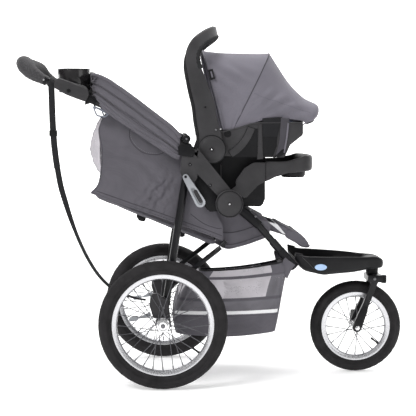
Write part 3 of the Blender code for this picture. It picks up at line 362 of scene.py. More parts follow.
def grid_mesh(rows, closed_u=False, closed_v=False, cap=False):
    """A bmesh skinned over rows of points."""
    bm = bmesh.new()
    verts = [[bm.verts.new(point) for point in row] for row in rows]
    row_count = len(rows)
    column_count = len(rows[0])
    for i in range(row_count - (0 if closed_v else 1)):
        for j in range(column_count - (0 if closed_u else 1)):
            a = verts[i][j]
            b = verts[i][(j + 1) % column_count]
            c = verts[(i + 1) % row_count][(j + 1) % column_count]
            d = verts[(i + 1) % row_count][j]
            bm.faces.new((a, b, c, d))
    if cap:
        bm.faces.new(verts[0])
        bm.faces.new(verts[-1])
    return bm


def skin_rod(bm, rows):
    """Faces round a small rod whose rings of vertices are already in the bmesh."""
    for row, following in zip(rows, rows[1:]):
        for k in range(len(row)):
            after = (k + 1) % len(row)
            bm.faces.new((row[k], row[after], following[after], following[k]))
    bm.faces.new(rows[0])
    bm.faces.new(rows[-1])


def tube(name, path, radius, look, body, sides=12, ends=True, flat=1.0):
    """A round or flattened tube along a path; radius may be a list, one for each point."""
    path = [Vector(point) for point in path]
    radii = radius if isinstance(radius, (list, tuple)) else [radius] * len(path)
    reference = ACROSS
    rows = []
    for index, position in enumerate(path):
        before = path[max(index - 1, 0)]
        after = path[min(index + 1, len(path) - 1)]
        along = (after - before).normalized()
        if abs(along.dot(reference)) > 0.9:
            reference = Vector((0, 0, 1)) if abs(along.z) < 0.9 else Vector((1, 0, 0))
        across = (reference - along * reference.dot(along)).normalized()
        other = along.cross(across)
        reference = across
        rows.append([position + across * (radii[index] * flat * math.cos(turn))
            + other * (radii[index] * math.sin(turn)) for turn in angles(sides)])
    return from_bmesh(name, grid_mesh(rows, closed_u=True, cap=ends), look, body)


def lathe(name, profile, centre, look, body, axis="Y", segments=48, smooth_angle=40.0, closed=True,
        ripple=None):
    """Turn a profile of (radius, along) about an axis; ripple(index, step) adds to a radius."""
    rows = []
    for index, (radius, along) in enumerate(profile):
        row = []
        for step in range(segments):
            turn = 2 * math.pi * step / segments
            size = radius + (ripple(index, step) if ripple else 0.0)
            first, second = size * math.cos(turn), size * math.sin(turn)
            local = {"Y": (first, along, second), "Z": (first, second, along), "X": (along, first,
                second)}[axis]
            row.append(Vector(centre) + Vector(local))
        rows.append(row)
    bm = grid_mesh(rows, closed_u=True, closed_v=closed)
    bmesh.ops.remove_doubles(bm, verts=bm.verts, dist=1e-6)
    return from_bmesh(name, bm, look, body, smooth_angle)


def angles(count, extra=0):
    """Equal turns round a circle in radians; extra=1 comes back to the first."""
    return [2 * math.pi * step / count for step in range(count + extra)]


def arc(centre, radius, start, end, steps):
    """x-z points on an arc from one angle in degrees to another."""
    return [(centre[0] + radius * math.cos(math.radians(start + (end - start) * step / steps)),
        centre[1] + radius * math.sin(math.radians(start + (end - start) * step / steps)))
        for step in range(steps + 1)]


def plate(name, outline, y_low, y_high, look, body, bevel=0.0015, segments=3):
    """An x-z outline extruded along y, with rounded edges."""
    bm = bmesh.new()
    face = bm.faces.new([bm.verts.new((x, y_low, z)) for x, z in outline])
    lifted = bmesh.ops.extrude_face_region(bm, geom=[face])
    bmesh.ops.translate(bm, vec=(0, y_high - y_low, 0), verts=[v for v in lifted["geom"]
        if isinstance(v, bmesh.types.BMVert)])
    piece = from_bmesh(name, bm, look, body)
    soften(piece, bevel, segments)
    return piece


def soften(piece, width, segments=3, angle=30.0):
    """Round a piece's edges and keep its flat faces flat-looking."""
    modifier = piece.modifiers.new("soften", "BEVEL")
    modifier.width = width
    modifier.segments = segments
    modifier.limit_method = "ANGLE"
    modifier.angle_limit = math.radians(angle)
    modifier.harden_normals = False
    bake_modifiers(piece)
    smooth(piece.data)
    piece.data.set_sharp_from_angle(angle=math.radians(40))


def bake_modifiers(piece):
    """Replace a piece's mesh with what its modifiers make of it."""
    depsgraph = bpy.context.evaluated_depsgraph_get()
    evaluated = piece.evaluated_get(depsgraph)
    mesh = bpy.data.meshes.new_from_object(evaluated)
    piece.modifiers.clear()
    piece.data = mesh


def refine(node_name, look, width=0.0015, segments=3):
    """A copy of a CAD node with its flat faces merged and its edges rounded."""
    source = cad_nodes[node_name]
    bm = bmesh.new()
    bm.from_mesh(source.data)
    bmesh.ops.remove_doubles(bm, verts=bm.verts, dist=1e-6)
    bmesh.ops.dissolve_limit(bm, angle_limit=math.radians(2.0), verts=bm.verts, edges=bm.edges)
    mesh = to_mesh(node_name + "_skin", bm)
    mesh.materials.clear()
    piece = place(node_name + "_skin", mesh, look, source["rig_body"])
    soften(piece, width, segments)
    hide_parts(node_name)
    return piece


def screw_head(name, x, z, y, side, body, radius=0.0045, look=SCREW):
    """Domed screw head with a round socket, facing out of the stroller's side."""
    dome = [(0, 0), (radius, 0), (radius, 0.001), (radius * 0.82, 0.0022), (radius * 0.5, 0.0026),
        (radius * 0.48, 0.0008), (0, 0.0008)]
    profile = [(size, side * along) for size, along in dome]
    return lathe(name, profile, (x, y, z), look, body, segments=18, smooth_angle=30)


# ---------------------------------------------------------------- camera, light and floor
CAMERA_PLACE = (-0.1415, -4.1805, 0.8452)
CAMERA_LENS = 108.9
CAMERA_YAW = 0.03183
CAMERA_PITCH = 0.07042
WORLD_GLOW = 0.42
LIGHTS = (  # name, place, size, watts
    ("key", (-2.6, -3.0, 3.8), 1.8, 150.0), ("fill", (3.4, -3.0, 1.6), 2.4, 30.0),
    ("top", (0.3, 0.6, 3.8), 2.6, 120.0))
LIGHT_AIM = Vector((0.0, 0.0, 0.5))
BACKDROP = ((-9.0, 5.0, -0.5), (9.0, 5.0, -0.5), (9.0, 5.0, 7.0), (-9.0, 5.0, 7.0))
FLOOR_HALF = 14.0


def stage_surface(name, bm, shade, scale, glow, height=0.0):
    """A pale matt surface with a faint glow, which isn't part of the object."""
    surface = bpy.data.objects.new(name, to_mesh(name, bm))
    surface.location = (0, 0, height)
    material, tree, shader, coords = new_material(name, (shade,) * 3, 0.9)
    tinted(tree, shader, noise_texture(tree, coords, scale), (shade - 0.01,) * 3,
        (shade + 0.01,) * 3)
    shader.inputs["Emission Color"].default_value = (1.0, 1.0, 1.0, 1.0)
    shader.inputs["Emission Strength"].default_value = glow
    surface.data.materials.append(material)
    link(surface)


def build_stage():
    """Camera, even studio light, floor and backdrop."""
    camera_data = bpy.data.cameras.new("camera")
    camera_data.sensor_width = 36.0
    camera_data.lens = CAMERA_LENS
    camera = bpy.data.objects.new("camera", camera_data)
    camera.location = CAMERA_PLACE
    forward = Vector((math.sin(CAMERA_YAW) * math.cos(CAMERA_PITCH),
        math.cos(CAMERA_YAW) * math.cos(CAMERA_PITCH), -math.sin(CAMERA_PITCH)))
    camera.rotation_mode = "QUATERNION"
    camera.rotation_quaternion = forward.to_track_quat("-Z", "Y")
    link(camera)
    bpy.context.scene.camera = camera
    bpy.context.scene.view_settings.view_transform = "Standard"
    world = bpy.data.worlds.new("studio")
    world.use_nodes = True
    background = world.node_tree.nodes["Background"]
    background.inputs["Color"].default_value = (1.0, 1.0, 1.0, 1.0)
    background.inputs["Strength"].default_value = WORLD_GLOW
    bpy.context.scene.world = world
    for name, position, size, power in LIGHTS:
        data = bpy.data.lights.new(name, "AREA")
        data.shape = "SQUARE"
        data.size = size
        data.energy = power
        light = bpy.data.objects.new(name, data)
        light.location = position
        light.rotation_mode = "QUATERNION"
        aim = LIGHT_AIM - Vector(position)
        light.rotation_quaternion = aim.to_track_quat("-Z", "Y")
        link(light)
    bm = bmesh.new()
    bmesh.ops.create_grid(bm, x_segments=1, y_segments=1, size=FLOOR_HALF)
    stage_surface("floor", bm, 0.93, 2.0, 0.3, -0.001)
    bm = bmesh.new()
    bm.faces.new([bm.verts.new(corner) for corner in BACKDROP])
    stage_surface("backdrop", bm, 0.91, 1.0, 0.9)


# ---------------------------------------------------------------- wheels
def build_tyre(name, centre, outer, height, half_width, body):
    """Tyre with knobs along both shoulders and two grooves round the tread."""
    inner = outer - height
    radial = height / 2
    section = []
    knobs = set()
    for step in range(25):
        turn = math.radians(-140 + 280 * step / 24)
        along = half_width * math.sin(turn) * (1.0 if abs(turn) < 1.9 else 0.92)
        size = inner + radial + radial * math.cos(turn)
        tread = abs(turn) < 0.95
        if tread:
            knobs.add(step)
            if 0.28 < abs(turn) < 0.42:
                size -= 0.0016
        section.append((min(size, outer), along))
    section.append((inner, 0.45 * half_width))
    section.append((inner, -0.45 * half_width))
    segments = 168

    def ripple(index, step):
        if index not in knobs:
            return 0.0
        shoulder = abs(index - 12) > 3
        phase = (step + (2 if index < 12 else 0)) % 4
        return -0.003 if shoulder and phase < 2 else (-0.0004 if phase == 3 else 0.0)

    lathe(name, section, centre, TYRE, body, segments=segments, smooth_angle=55, ripple=ripple)
    for side in (-1, 1):
        ring = [(centre[0] + (inner + 0.35 * height) * math.cos(t), centre[1] + side * half_width
            * 0.985, centre[2] + (inner + 0.35 * height) * math.sin(t)) for t in angles(96, 1)]
        tube(name + "_sidewall_line_" + ("right" if side < 0 else "left"), ring, 0.0007, TYRE,
            body, sides=6, ends=False)


def build_rim(name, centre, bead, hub_radius, hub_half, spokes, body, cap_side, bore):
    """Double-walled rim, laced round spokes with nipples, flanged hub and its cap."""
    depth = 0.0135
    section = [(bead + 0.0035, -0.012), (bead + 0.0035, -0.01), (bead - 0.0015, -0.0085),
        (bead - 0.0015, 0.0085), (bead + 0.0035, 0.01), (bead + 0.0035, 0.012),
        (bead - 0.004, 0.0122), (bead - 0.01, 0.0095), (bead - depth, 0.0045),
        (bead - depth, -0.0045), (bead - 0.01, -0.0095), (bead - 0.004, -0.0122)]
    lathe(name + "_rim", section, centre, ALUMINIUM, body, segments=96, smooth_angle=28)
    flange = hub_half - 0.0055
    hub = [(bore, -hub_half), (hub_radius * 0.62, -hub_half), (hub_radius * 0.66, -flange - 0.004),
        (hub_radius, -flange - 0.0018), (hub_radius, -flange + 0.0012), (hub_radius * 0.66,
        -flange + 0.004), (hub_radius * 0.52, -flange * 0.45), (hub_radius * 0.52, flange * 0.45),
        (hub_radius * 0.66, flange - 0.004), (hub_radius, flange - 0.0012),
        (hub_radius, flange + 0.0018), (hub_radius * 0.66, flange + 0.004), (hub_radius * 0.62,
        hub_half), (bore, hub_half)]
    lathe(name + "_hub", hub, centre, CHROME, body, segments=40, smooth_angle=30)
    bm = bmesh.new()
    for index in range(spokes):
        side = 1 if index % 2 else -1
        pull = 1 if (index // 2) % 2 else -1
        turn = 2 * math.pi * index / spokes
        root = turn + pull * math.radians(62)
        start = Vector((hub_radius * 0.86 * math.cos(root), side * flange,
            hub_radius * 0.86 * math.sin(root)))
        end = Vector(((bead - depth + 0.002) * math.cos(turn), side * 0.0022,
            (bead - depth + 0.002) * math.sin(turn)))
        along = (end - start).normalized()
        across = along.cross(ACROSS).normalized()
        other = along.cross(across)
        stations = ((start, 0.0012), (end - along * 0.0125, 0.0012), (end - along * 0.012, 0.0019),
            (end, 0.0019))
        rows = []
        for position, size in stations:
            rows.append([bm.verts.new(Vector(centre) + position + across * size * math.cos(t)
                + other * size * math.sin(t)) for t in angles(6)])
        skin_rod(bm, rows)
    from_bmesh(name + "_spokes", bm, SPOKE, body, 60)
    valve_turn = math.radians(-38)
    valve_start = Vector(centre) + Vector((math.cos(valve_turn), 0, math.sin(valve_turn))) * (bead
        - depth + 0.001)
    inward = -Vector((math.cos(valve_turn), 0, math.sin(valve_turn)))
    stem = [valve_start + inward * distance for distance in (0.0, 0.006, 0.007, 0.022, 0.0225,
        0.03)]
    tube(name + "_valve", stem, [0.0042, 0.0036, 0.0028, 0.0028, 0.0036, 0.0034], SOFT_BLACK, body,
        sides=10)
    if cap_side:
        face = centre[1] + cap_side * hub_half
        cap = [(0.007, 0), (0.015, 0), (0.0152, 0.0015), (0.0125, 0.004), (0.007, 0.0042)]
        lathe(name + "_cap", [(size, cap_side * along) for size, along in cap],
            (centre[0], face - cap_side * 0.001, centre[2]), CHROME, body, segments=36)


def build_wheels():
    for side, tag in SIDES:
        centre = (REAR_AXLE[0], side * REAR_WHEEL_Y, REAR_AXLE[1])
        body = "rear_wheel_" + tag
        build_tyre("rear_tyre_skin_" + tag, centre, *REAR_TYRE, body)
        build_rim("rear_" + tag, centre, *REAR_RIM, body, side, 0.0068)
        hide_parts("rear_tyre_" + tag)
        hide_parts("rear_rim_" + tag)
        end = [(0, 0.0), (0.006, 0.0), (0.006, 0.0008), (0.0048, 0.0022), (0, 0.0026)]
        lathe("axle_button_" + tag, [(size, side * along) for size, along in end],
            (REAR_AXLE[0], side * 0.2985, REAR_AXLE[1]), SCREW, "rear_frame", segments=24)
    centre = (FRONT_AXLE[0], 0, FRONT_AXLE[1])
    build_tyre("front_tyre_skin", centre, *FRONT_TYRE, "front_wheel")
    build_rim("front_wheel", centre, *FRONT_RIM, "front_wheel", 0, 0.0058)
    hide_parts("front_tyre")
    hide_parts("front_rim")


# ---------------------------------------------------------------- soft goods helpers
def wander(x, y, z, scale, seed=0.0):
    """Smooth noise from -1 to 1."""
    return noise.noise(Vector((x * scale + seed, y * scale - seed, z * scale + 2.0 * seed)))


def thicken(piece, thickness):
    """Give a sheet its thickness."""
    modifier = piece.modifiers.new("thickness", "SOLIDIFY")
    modifier.thickness = thickness
    modifier.offset = 0.0
    bake_modifiers(piece)
    smooth(piece.data)
    piece.data.set_sharp_from_angle(angle=math.radians(60))


def coons_rows(bottom, top, left, right, columns, rows):
    """Points of a patch between four boundary curves; bottom and top run left to right."""
    low = spline(bottom, columns + 1)
    high = spline(top, columns + 1)
    first = spline(left, rows + 1)
    last = spline(right, rows + 1)
    result = []
    for j in range(rows + 1):
        v = j / rows
        row = []
        for i in range(columns + 1):
            u = i / columns
            point = (low[i] * (1 - v) + high[i] * v + first[j] * (1 - u) + last[j] * u
                - low[0] * (1 - u) * (1 - v) - low[-1] * u * (1 - v) - high[0] * (1 - u) * v
                - high[-1] * u * v)
            row.append((u, v, point))
        result.append(row)
    return result


def flat(points, y):
    """x-z points put on the plane at y."""
    return [(x, y, z) for x, z in points]


def puff(node_name, look, cap, shrink=0.004, voxel=0.006, pressure=4.0):
    """Padded piece: a CAD soft solid remeshed and inflated as cloth, kept near its shape."""
    source = cad_nodes[node_name]
    mesh = source.data.copy()
    name = node_name + "_pad"
    mesh.materials.clear()
    piece = place(name, mesh, look, None)
    shell = piece.modifiers.new("remesh", "REMESH")
    shell.mode = "VOXEL"
    shell.voxel_size = voxel
    relax = piece.modifiers.new("relax", "SMOOTH")
    relax.factor = 0.5
    relax.iterations = 6
    bake_modifiers(piece)
    mesh = piece.data
    for vertex in mesh.vertices:
        vertex.co -= vertex.normal * shrink
    start = [vertex.co.copy() for vertex in mesh.vertices]
    scene = bpy.context.scene
    cloth_modifier = piece.modifiers.new("inflate", "CLOTH")
    settings = cloth_modifier.settings
    settings.quality = 5
    settings.mass = 0.3
    settings.use_pressure = True
    settings.uniform_pressure_force = pressure
    settings.tension_stiffness = 15
    settings.compression_stiffness = 15
    settings.bending_stiffness = 0.5
    settings.effector_weights.gravity = 0.0
    cloth_modifier.point_cache.frame_start = 1
    cloth_modifier.point_cache.frame_end = 20
    for number in range(1, 21):
        scene.frame_set(number)
    bake_modifiers(piece)
    scene.frame_set(1)
    mesh = piece.data
    for vertex, rest in zip(mesh.vertices, start):
        move = vertex.co - rest
        if move.length > cap:
            vertex.co = rest + move.normalized() * cap
    for vertex in mesh.vertices:
        x, y, z = vertex.co
        vertex.co += vertex.normal * (0.0012 * wander(x, y, z, 28.0, 3.0))
    divide = piece.modifiers.new("divide", "SUBSURF")
    divide.levels = 1
    divide.render_levels = 1
    bake_modifiers(piece)
    smooth(piece.data)
    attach(piece, source["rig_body"])
    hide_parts(node_name)
    return piece


def piping(name, path, body, radius=0.0016, look=DARK_FABRIC):
    return tube(name, path, radius, look, body, sides=8)


def stitches(name, path, body, length=0.0035, pitch=0.006, look=THREAD, radius=0.0005):
    """A row of separate thread stitches along a path."""
    total = sum((Vector(b) - Vector(a)).length for a, b in zip(path, path[1:]))
    count = max(int(total / pitch), 2)
    points = spline(path, count * 2 + 1)
    bm = bmesh.new()
    for index in range(0, count * 2, 2):
        start = points[index]
        along = (points[index + 1] - start).normalized()
        across = along.orthogonal().normalized()
        other = along.cross(across)
        rows = []
        for distance, size in ((0.0, 0.4), (length * 0.25, 1.0), (length * 0.75, 1.0),
                (length, 0.4)):
            rows.append([bm.verts.new(start + along * distance + (across * math.cos(t)
                + other * math.sin(t)) * radius * size) for t in angles(5)])
        skin_rod(bm, rows)
    return from_bmesh(name, bm, look, body, 60)


# ---------------------------------------------------------------- stroller seat and canopy
PANEL_LOW = [(-0.385, 0.613), (-0.28, 0.576), (-0.15, 0.53), (-0.03, 0.486), (0.032, 0.462)]
PANEL_HIGH = [(-0.333, 0.87), (-0.262, 0.842), (-0.17, 0.78), (-0.113, 0.73), (-0.064, 0.695),
    (-0.018, 0.61), (0.032, 0.505)]
PANEL_REAR = [(-0.385, 0.613), (-0.362, 0.64), (-0.352, 0.69), (-0.35, 0.75), (-0.358, 0.815),
    (-0.333, 0.87)]
PANEL_FRONT = [(0.032, 0.462), (0.033, 0.485), (0.032, 0.505)]


def panel_depth(x, z):
    """How far a side panel stands proud of its plane: soft billows and gathered elastic."""
    rearward = min(max((-0.15 - x) / 0.1, 0.0), 1.0)
    billow = 0.0055 * math.sin(min(max((x + 0.385) / 0.3, 0.0), 1.0) * math.pi) * rearward
    slow = 0.004 * wander(x, 0.0, z, 9.0, 1.0) * rearward
    along = (x + 0.21) * 0.55 + (z - 0.56) * 0.83
    beside = (x + 0.17) * 0.83 - (z - 0.615) * 0.55
    zone = math.exp(-(beside / 0.04) ** 2) * math.exp(-((along - 0.055) / 0.065) ** 2)
    gather = 0.0034 * zone * (math.sin(beside * 210.0 + 3.0 * wander(x, 0, z, 30.0, 4.0))
        + 1.2 * wander(x, 0.0, z, 85.0, 5.0))
    drag = 0.003 * math.sin((x * 0.5 + z) * 95.0 + 4.0 * wander(x, 0, z, 8.0,
        7.0)) * math.exp(-((z - 0.64 + 0.3 * (x + 0.1)) / 0.06) ** 2)
    return billow + slow + gather + drag * 0.8


def build_side_panels():
    for side, tag in SIDES:
        rows = coons_rows(flat(PANEL_LOW, 0), flat(PANEL_HIGH, 0), flat(PANEL_REAR, 0),
            flat(PANEL_FRONT, 0), 150, 110)
        points = []
        for row in rows:
            points.append([Vector((p.x, side * (0.1962 + panel_depth(p.x, p.z)), p.z))
                for _, _, p in row])
        panel = from_bmesh("side_fabric_" + tag, grid_mesh(points), FABRIC, "handle_frame", 80)
        thicken(panel, 0.0014)
        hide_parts("side_panel_" + tag)

        def on_panel(outline, lift=0.001):
            return [(x, side * (0.1962 + panel_depth(x, z) + lift), z) for x, z in outline]

        hem_low = [(p.x, p.z) for p in spline(flat(PANEL_LOW, 0), 60)]
        piping("side_hem_low_" + tag, on_panel(hem_low), "handle_frame", 0.0024, FABRIC)
        raised = [(x + 0.004, z + 0.0105) for x, z in hem_low[2:-1]]
        piping("side_hem_high_" + tag, on_panel(raised), "handle_frame", 0.0012)
        rear = [(p.x, p.z) for p in spline(flat(PANEL_REAR, 0), 60)]
        piping("side_hem_rear_" + tag, on_panel(rear), "handle_frame", 0.002, FABRIC)
        pocket = spline(flat([(-0.26, 0.818), (-0.2612, 0.785), (-0.2425, 0.756), (-0.2125, 0.737),
            (-0.1735, 0.734), (-0.15, 0.743)], 0), 60)
        seam = [(p.x, p.z) for p in pocket]
        piping("pocket_seam_" + tag, on_panel(seam, 0.0006), "handle_frame", 0.0014)
        inside = [(x + 0.0035, z + 0.0045) for x, z in seam[:-2]]
        stitches("pocket_stitches_" + tag, on_panel(inside, 0.0007), "handle_frame")
        lower = spline(flat([(-0.07, 0.545), (-0.03, 0.515), (0.01, 0.5), (0.029, 0.499)], 0), 30)
        piping("front_seam_" + tag, on_panel([(p.x, p.z) for p in lower], 0.0006), "handle_frame",
            0.0012)


CANOPY_HIGH = [(-0.103, -0.2425, 0.784), (-0.13, -0.244, 0.814), (-0.1885, -0.245, 0.859),
    (-0.2615, -0.245, 0.915), (-0.325, -0.243, 0.959), (-0.356, -0.235, 0.9735),
    (-0.374, -0.215, 0.978), (-0.383, -0.17, 0.98), (-0.386, -0.1, 0.981), (-0.3865, 0.0, 0.981)]
CANOPY_LOW = [(-0.106, -0.242, 0.723), (-0.124, -0.244, 0.727), (-0.196, -0.245, 0.774),
    (-0.265, -0.245, 0.821), (-0.33, -0.242, 0.866), (-0.361, -0.224, 0.896),
    (-0.369, -0.185, 0.902), (-0.371, -0.1, 0.904), (-0.3715, 0.0, 0.904)]


def build_canopy():
    """Canopy pushed back: one pleated sheet that runs round both sides and the back."""
    columns = 120
    rows = 48
    half_high = spline(CANOPY_HIGH, columns + 1)
    half_low = spline(CANOPY_LOW, columns + 1)
    high = half_high + [Vector((p.x, -p.y, p.z)) for p in reversed(half_high[:-1])]
    low = half_low + [Vector((p.x, -p.y, p.z)) for p in reversed(half_low[:-1])]
    count = len(high)
    points = []
    for j in range(rows + 1):
        v = j / rows
        row = []
        for i in range(count):
            before = high[max(i - 1, 0)]
            after = high[min(i + 1, count - 1)]
            tangent = (after - before).normalized()
            outward = Vector((tangent.y, -tangent.x, 0)).normalized() * -1
            s = min(i, count - 1 - i) / columns
            slip = 0.1 * math.sin(3.1 * s + 0.6) + 0.03 * wander(s * 9.0, v, 0.0, 1.0, 2.0)
            lobe = abs(math.sin(math.pi * (3.0 * min(max(v + slip * v * (1 - v) * 2.2, 0), 1))))
            swell = lobe ** 0.55
            amount = 0.005 + 0.007 * v
            fade = min(s / 0.05, 1.0) ** 0.5
            minor = 0.0022 * math.sin(38.0 * v + 5.0 * wander(s * 5.0, v * 2, 1.0, 1.0, 6.0))
            wrinkle = 0.004 * wander(s * 14.0, v * 5.0, 0.3, 1.0, 8.0)
            lift = amount * (swell - 0.45) * (0.4 + 0.6 * fade) + (minor + wrinkle) * v
            point = high[i].lerp(low[i], v) + outward * lift
            row.append(point)
        points.append(row)
    canopy = from_bmesh("canopy_fabric", grid_mesh(points), FABRIC, "handle_frame", 80)
    thicken(canopy, 0.0016)
    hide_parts("canopy_side_right", "canopy_side_left", "canopy_top")
    for label, edge, radius in (("high", points[0], 0.0026), ("low", points[-1], 0.0022),
            ("fold_one", points[16], 0.0012), ("fold_two", points[32], 0.0012)):
        piping("canopy_edge_" + label, edge[::2], "handle_frame", radius, FABRIC
            if label in ("high", "low") else DARK_FABRIC)
    sleeve = [point + Vector((0.001, 0, 0.0045)) for point in points[0]]
    radii = [0.0062 + 0.0009 * wander(p.x, p.y, p.z, 40.0, 3.0) for p in sleeve]
    bow = tube("canopy_bow_sleeve", sleeve, radii, FABRIC, "bow", sides=18)
    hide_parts("canopy_bow")
    pleats = spline([(-0.382, 0, 0.98), (-0.376, 0, 0.952), (-0.362, 0, 0.978), (-0.348, 0, 0.925),
        (-0.332, 0, 0.961), (-0.312, 0, 0.902), (-0.296, 0, 0.938), (-0.274, 0, 0.885),
        (-0.254, 0, 0.912), (-0.233, 0, 0.87), (-0.214, 0, 0.888)], 110)
    points = []
    across = 70
    for i in range(across + 1):
        y = -0.24 + 0.48 * i / across
        hang = 1.0 - (abs(y) / 0.24) ** 2
        row = []
        for k, p in enumerate(pleats):
            level = 0.986 - (0.1 * (k / 109))
            depth = 0.55 + 0.45 * hang
            z = level + (p.z - level) * depth - 0.012 * hang * (k / 109)
            z += 0.003 * wander(p.x, y, p.z, 14.0, 9.0)
            row.append(Vector((p.x + 0.004 * wander(y, p.z, p.x, 11.0, 3.0), y, z)))
        points.append(row)
    gather = from_bmesh("canopy_gather", grid_mesh(points), FABRIC, "handle_frame", 80)
    thicken(gather, 0.0014)


def build_rear_net():
    """Bulging net window between the side panels."""
    columns, rows = 84, 48
    points = []
    for j in range(rows + 1):
        v = j / rows
        z = 0.665 + v * (0.85 - 0.665)
        edge_x = -0.352 - 0.004 * math.sin(math.pi * v)
        bulge = 0.034 * math.sin(math.pi * v) ** 0.75
        row = []
        for i in range(columns + 1):
            y = -0.193 + 0.386 * i / columns
            round_off = (1 - abs(y / 0.193) ** 5) ** 0.6
            ripple = 0.007 * wander(0.0, y, z, 22.0, 2.0) + 0.004 * wander(0, y, z, 60.0, 5.0)
            row.append(Vector((edge_x - (bulge + ripple) * round_off, y, z)))
        points.append(row)
    net = from_bmesh("rear_net", grid_mesh(points), NET, "handle_frame", 80)
    thicken(net, 0.001)
    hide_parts("rear_mesh")
    for label, row in (("low", points[0]), ("high", points[-1])):
        piping("rear_net_binding_" + label, row[::2], "handle_frame", 0.003, FABRIC)


def build_seat():
    """Reclining back, seat and leg rest, padded, with seams, harness and buckles."""
    puff("seat_back", FABRIC, 0.008, 0.003, 0.006, 5.0)
    slope = Vector((-0.409, 0, 0.167)).normalized()
    upright = Vector((-slope.z, 0, slope.x)) * -1
    foot = Vector((0.023, 0, 0.456))
    for index, y in enumerate((-0.09, 0.0, 0.09)):
        seam = [foot + slope * d + upright * 0.008 + Vector((0, y, 0)) for d in (0.03, 0.12, 0.22,
            0.32, 0.41)]
        stitches("back_stitches_%d" % index, seam, "back_board")
    for side, tag in SIDES:
        strap = [foot + slope * d + upright * h + Vector((0, side * 0.055, 0))
            for d, h in ((0.335, 0.004), (0.32, 0.012), (0.24, 0.014), (0.15, 0.015),
            (0.06, 0.014))]
        ribbon("shoulder_strap_" + tag, spline(strap, 40), 0.025, 0.0018, WEBBING, "back_board",
            ACROSS)
        pad = [foot + slope * d + upright * h + Vector((0, side * 0.055, 0))
            for d, h in ((0.31, 0.0135), (0.26, 0.016), (0.2, 0.0165), (0.17, 0.016))]
        ribbon("shoulder_pad_" + tag, spline(pad, 30), 0.042, 0.007, DARK_FABRIC, "back_board",
            ACROSS, 0.4)
    for index, (x, z) in enumerate(((-0.2265, 0.532), (-0.0995, 0.481))):
        for side, tag in SIDES:
            buckle = [(x - 0.016, z + 0.01), (x + 0.014, z - 0.002), (x + 0.012, z - 0.014),
                (x + 0.004, z - 0.018), (x - 0.01, z - 0.014), (x - 0.017, z - 0.002)]
            plate("recline_buckle_%d_%s" % (index, tag), buckle, side * 0.085, side * 0.113, BLACK,
                "back_board", 0.002)
    puff("seat_bottom", FABRIC, 0.006, 0.003, 0.006, 4.0)
    puff("leg_rest", FABRIC, 0.006, 0.002, 0.004, 5.0)
    line = [(0.215, 0.504), (0.266, 0.479), (0.299, 0.454), (0.324, 0.428)]
    for index, y in enumerate((-0.078, -0.039, 0.0, 0.039, 0.078)):
        seam = [(x, y, z + 0.0015) for x, z in line]
        piping("leg_rest_channel_%d" % index, spline(seam, 24), "front_frame", 0.0012)
    strip = [(0.206, 0, 0.508), (0.235, 0, 0.484), (0.262, 0, 0.461)]
    ribbon("leg_rest_strip", spline(strip, 20), 0.23, 0.003, REFLECTIVE, "front_frame", ACROSS,
        0.2)
    for side, tag in SIDES:
        hem = spline([(0.048, side * 0.156, 0.456), (0.0885, side * 0.1575, 0.46),
            (0.1365, side * 0.157, 0.47), (0.18, side * 0.154, 0.484)], 40)
        piping("seat_hem_" + tag, hem, "front_frame", 0.003, FABRIC)
    crotch = spline([(0.07, 0, 0.548), (0.08, 0, 0.562), (0.086, 0, 0.576)], 12)
    ribbon("crotch_strap", crotch, 0.03, 0.002, WEBBING, "front_frame", ACROSS)
    plate("harness_buckle", [(0.08, 0.57), (0.092, 0.572), (0.096, 0.608), (0.086, 0.612)], -0.026,
        0.026, BLACK, "front_frame", 0.004)


def ribbon(name, path, width, thickness, look, body, wide, round_edges=0.5):
    """A flat strip along a path; wide is its width's direction, one vector or one a point."""
    count = len(path)
    rows = []
    for index, position in enumerate(path):
        along = (path[min(index + 1, count - 1)] - path[max(index - 1, 0)]).normalized()
        direction = wide[index] if isinstance(wide, list) else wide
        across = (direction - along * direction.dot(along)).normalized()
        other = along.cross(across)
        half, deep = width / 2, thickness / 2
        corner = half - deep * round_edges * 2
        rows.append([position + across * a + other * b for a, b in ((half, 0), (corner, deep),
            (corner * 0.5, deep * 1.1), (-corner * 0.5, deep * 1.1), (-corner, deep), (-half, 0),
            (-corner, -deep), (-corner * 0.5, -deep * 1.1), (corner * 0.5, -deep * 1.1),
            (corner, -deep))])
    return from_bmesh(name, grid_mesh(rows, closed_u=True, cap=True), look, body, 50)


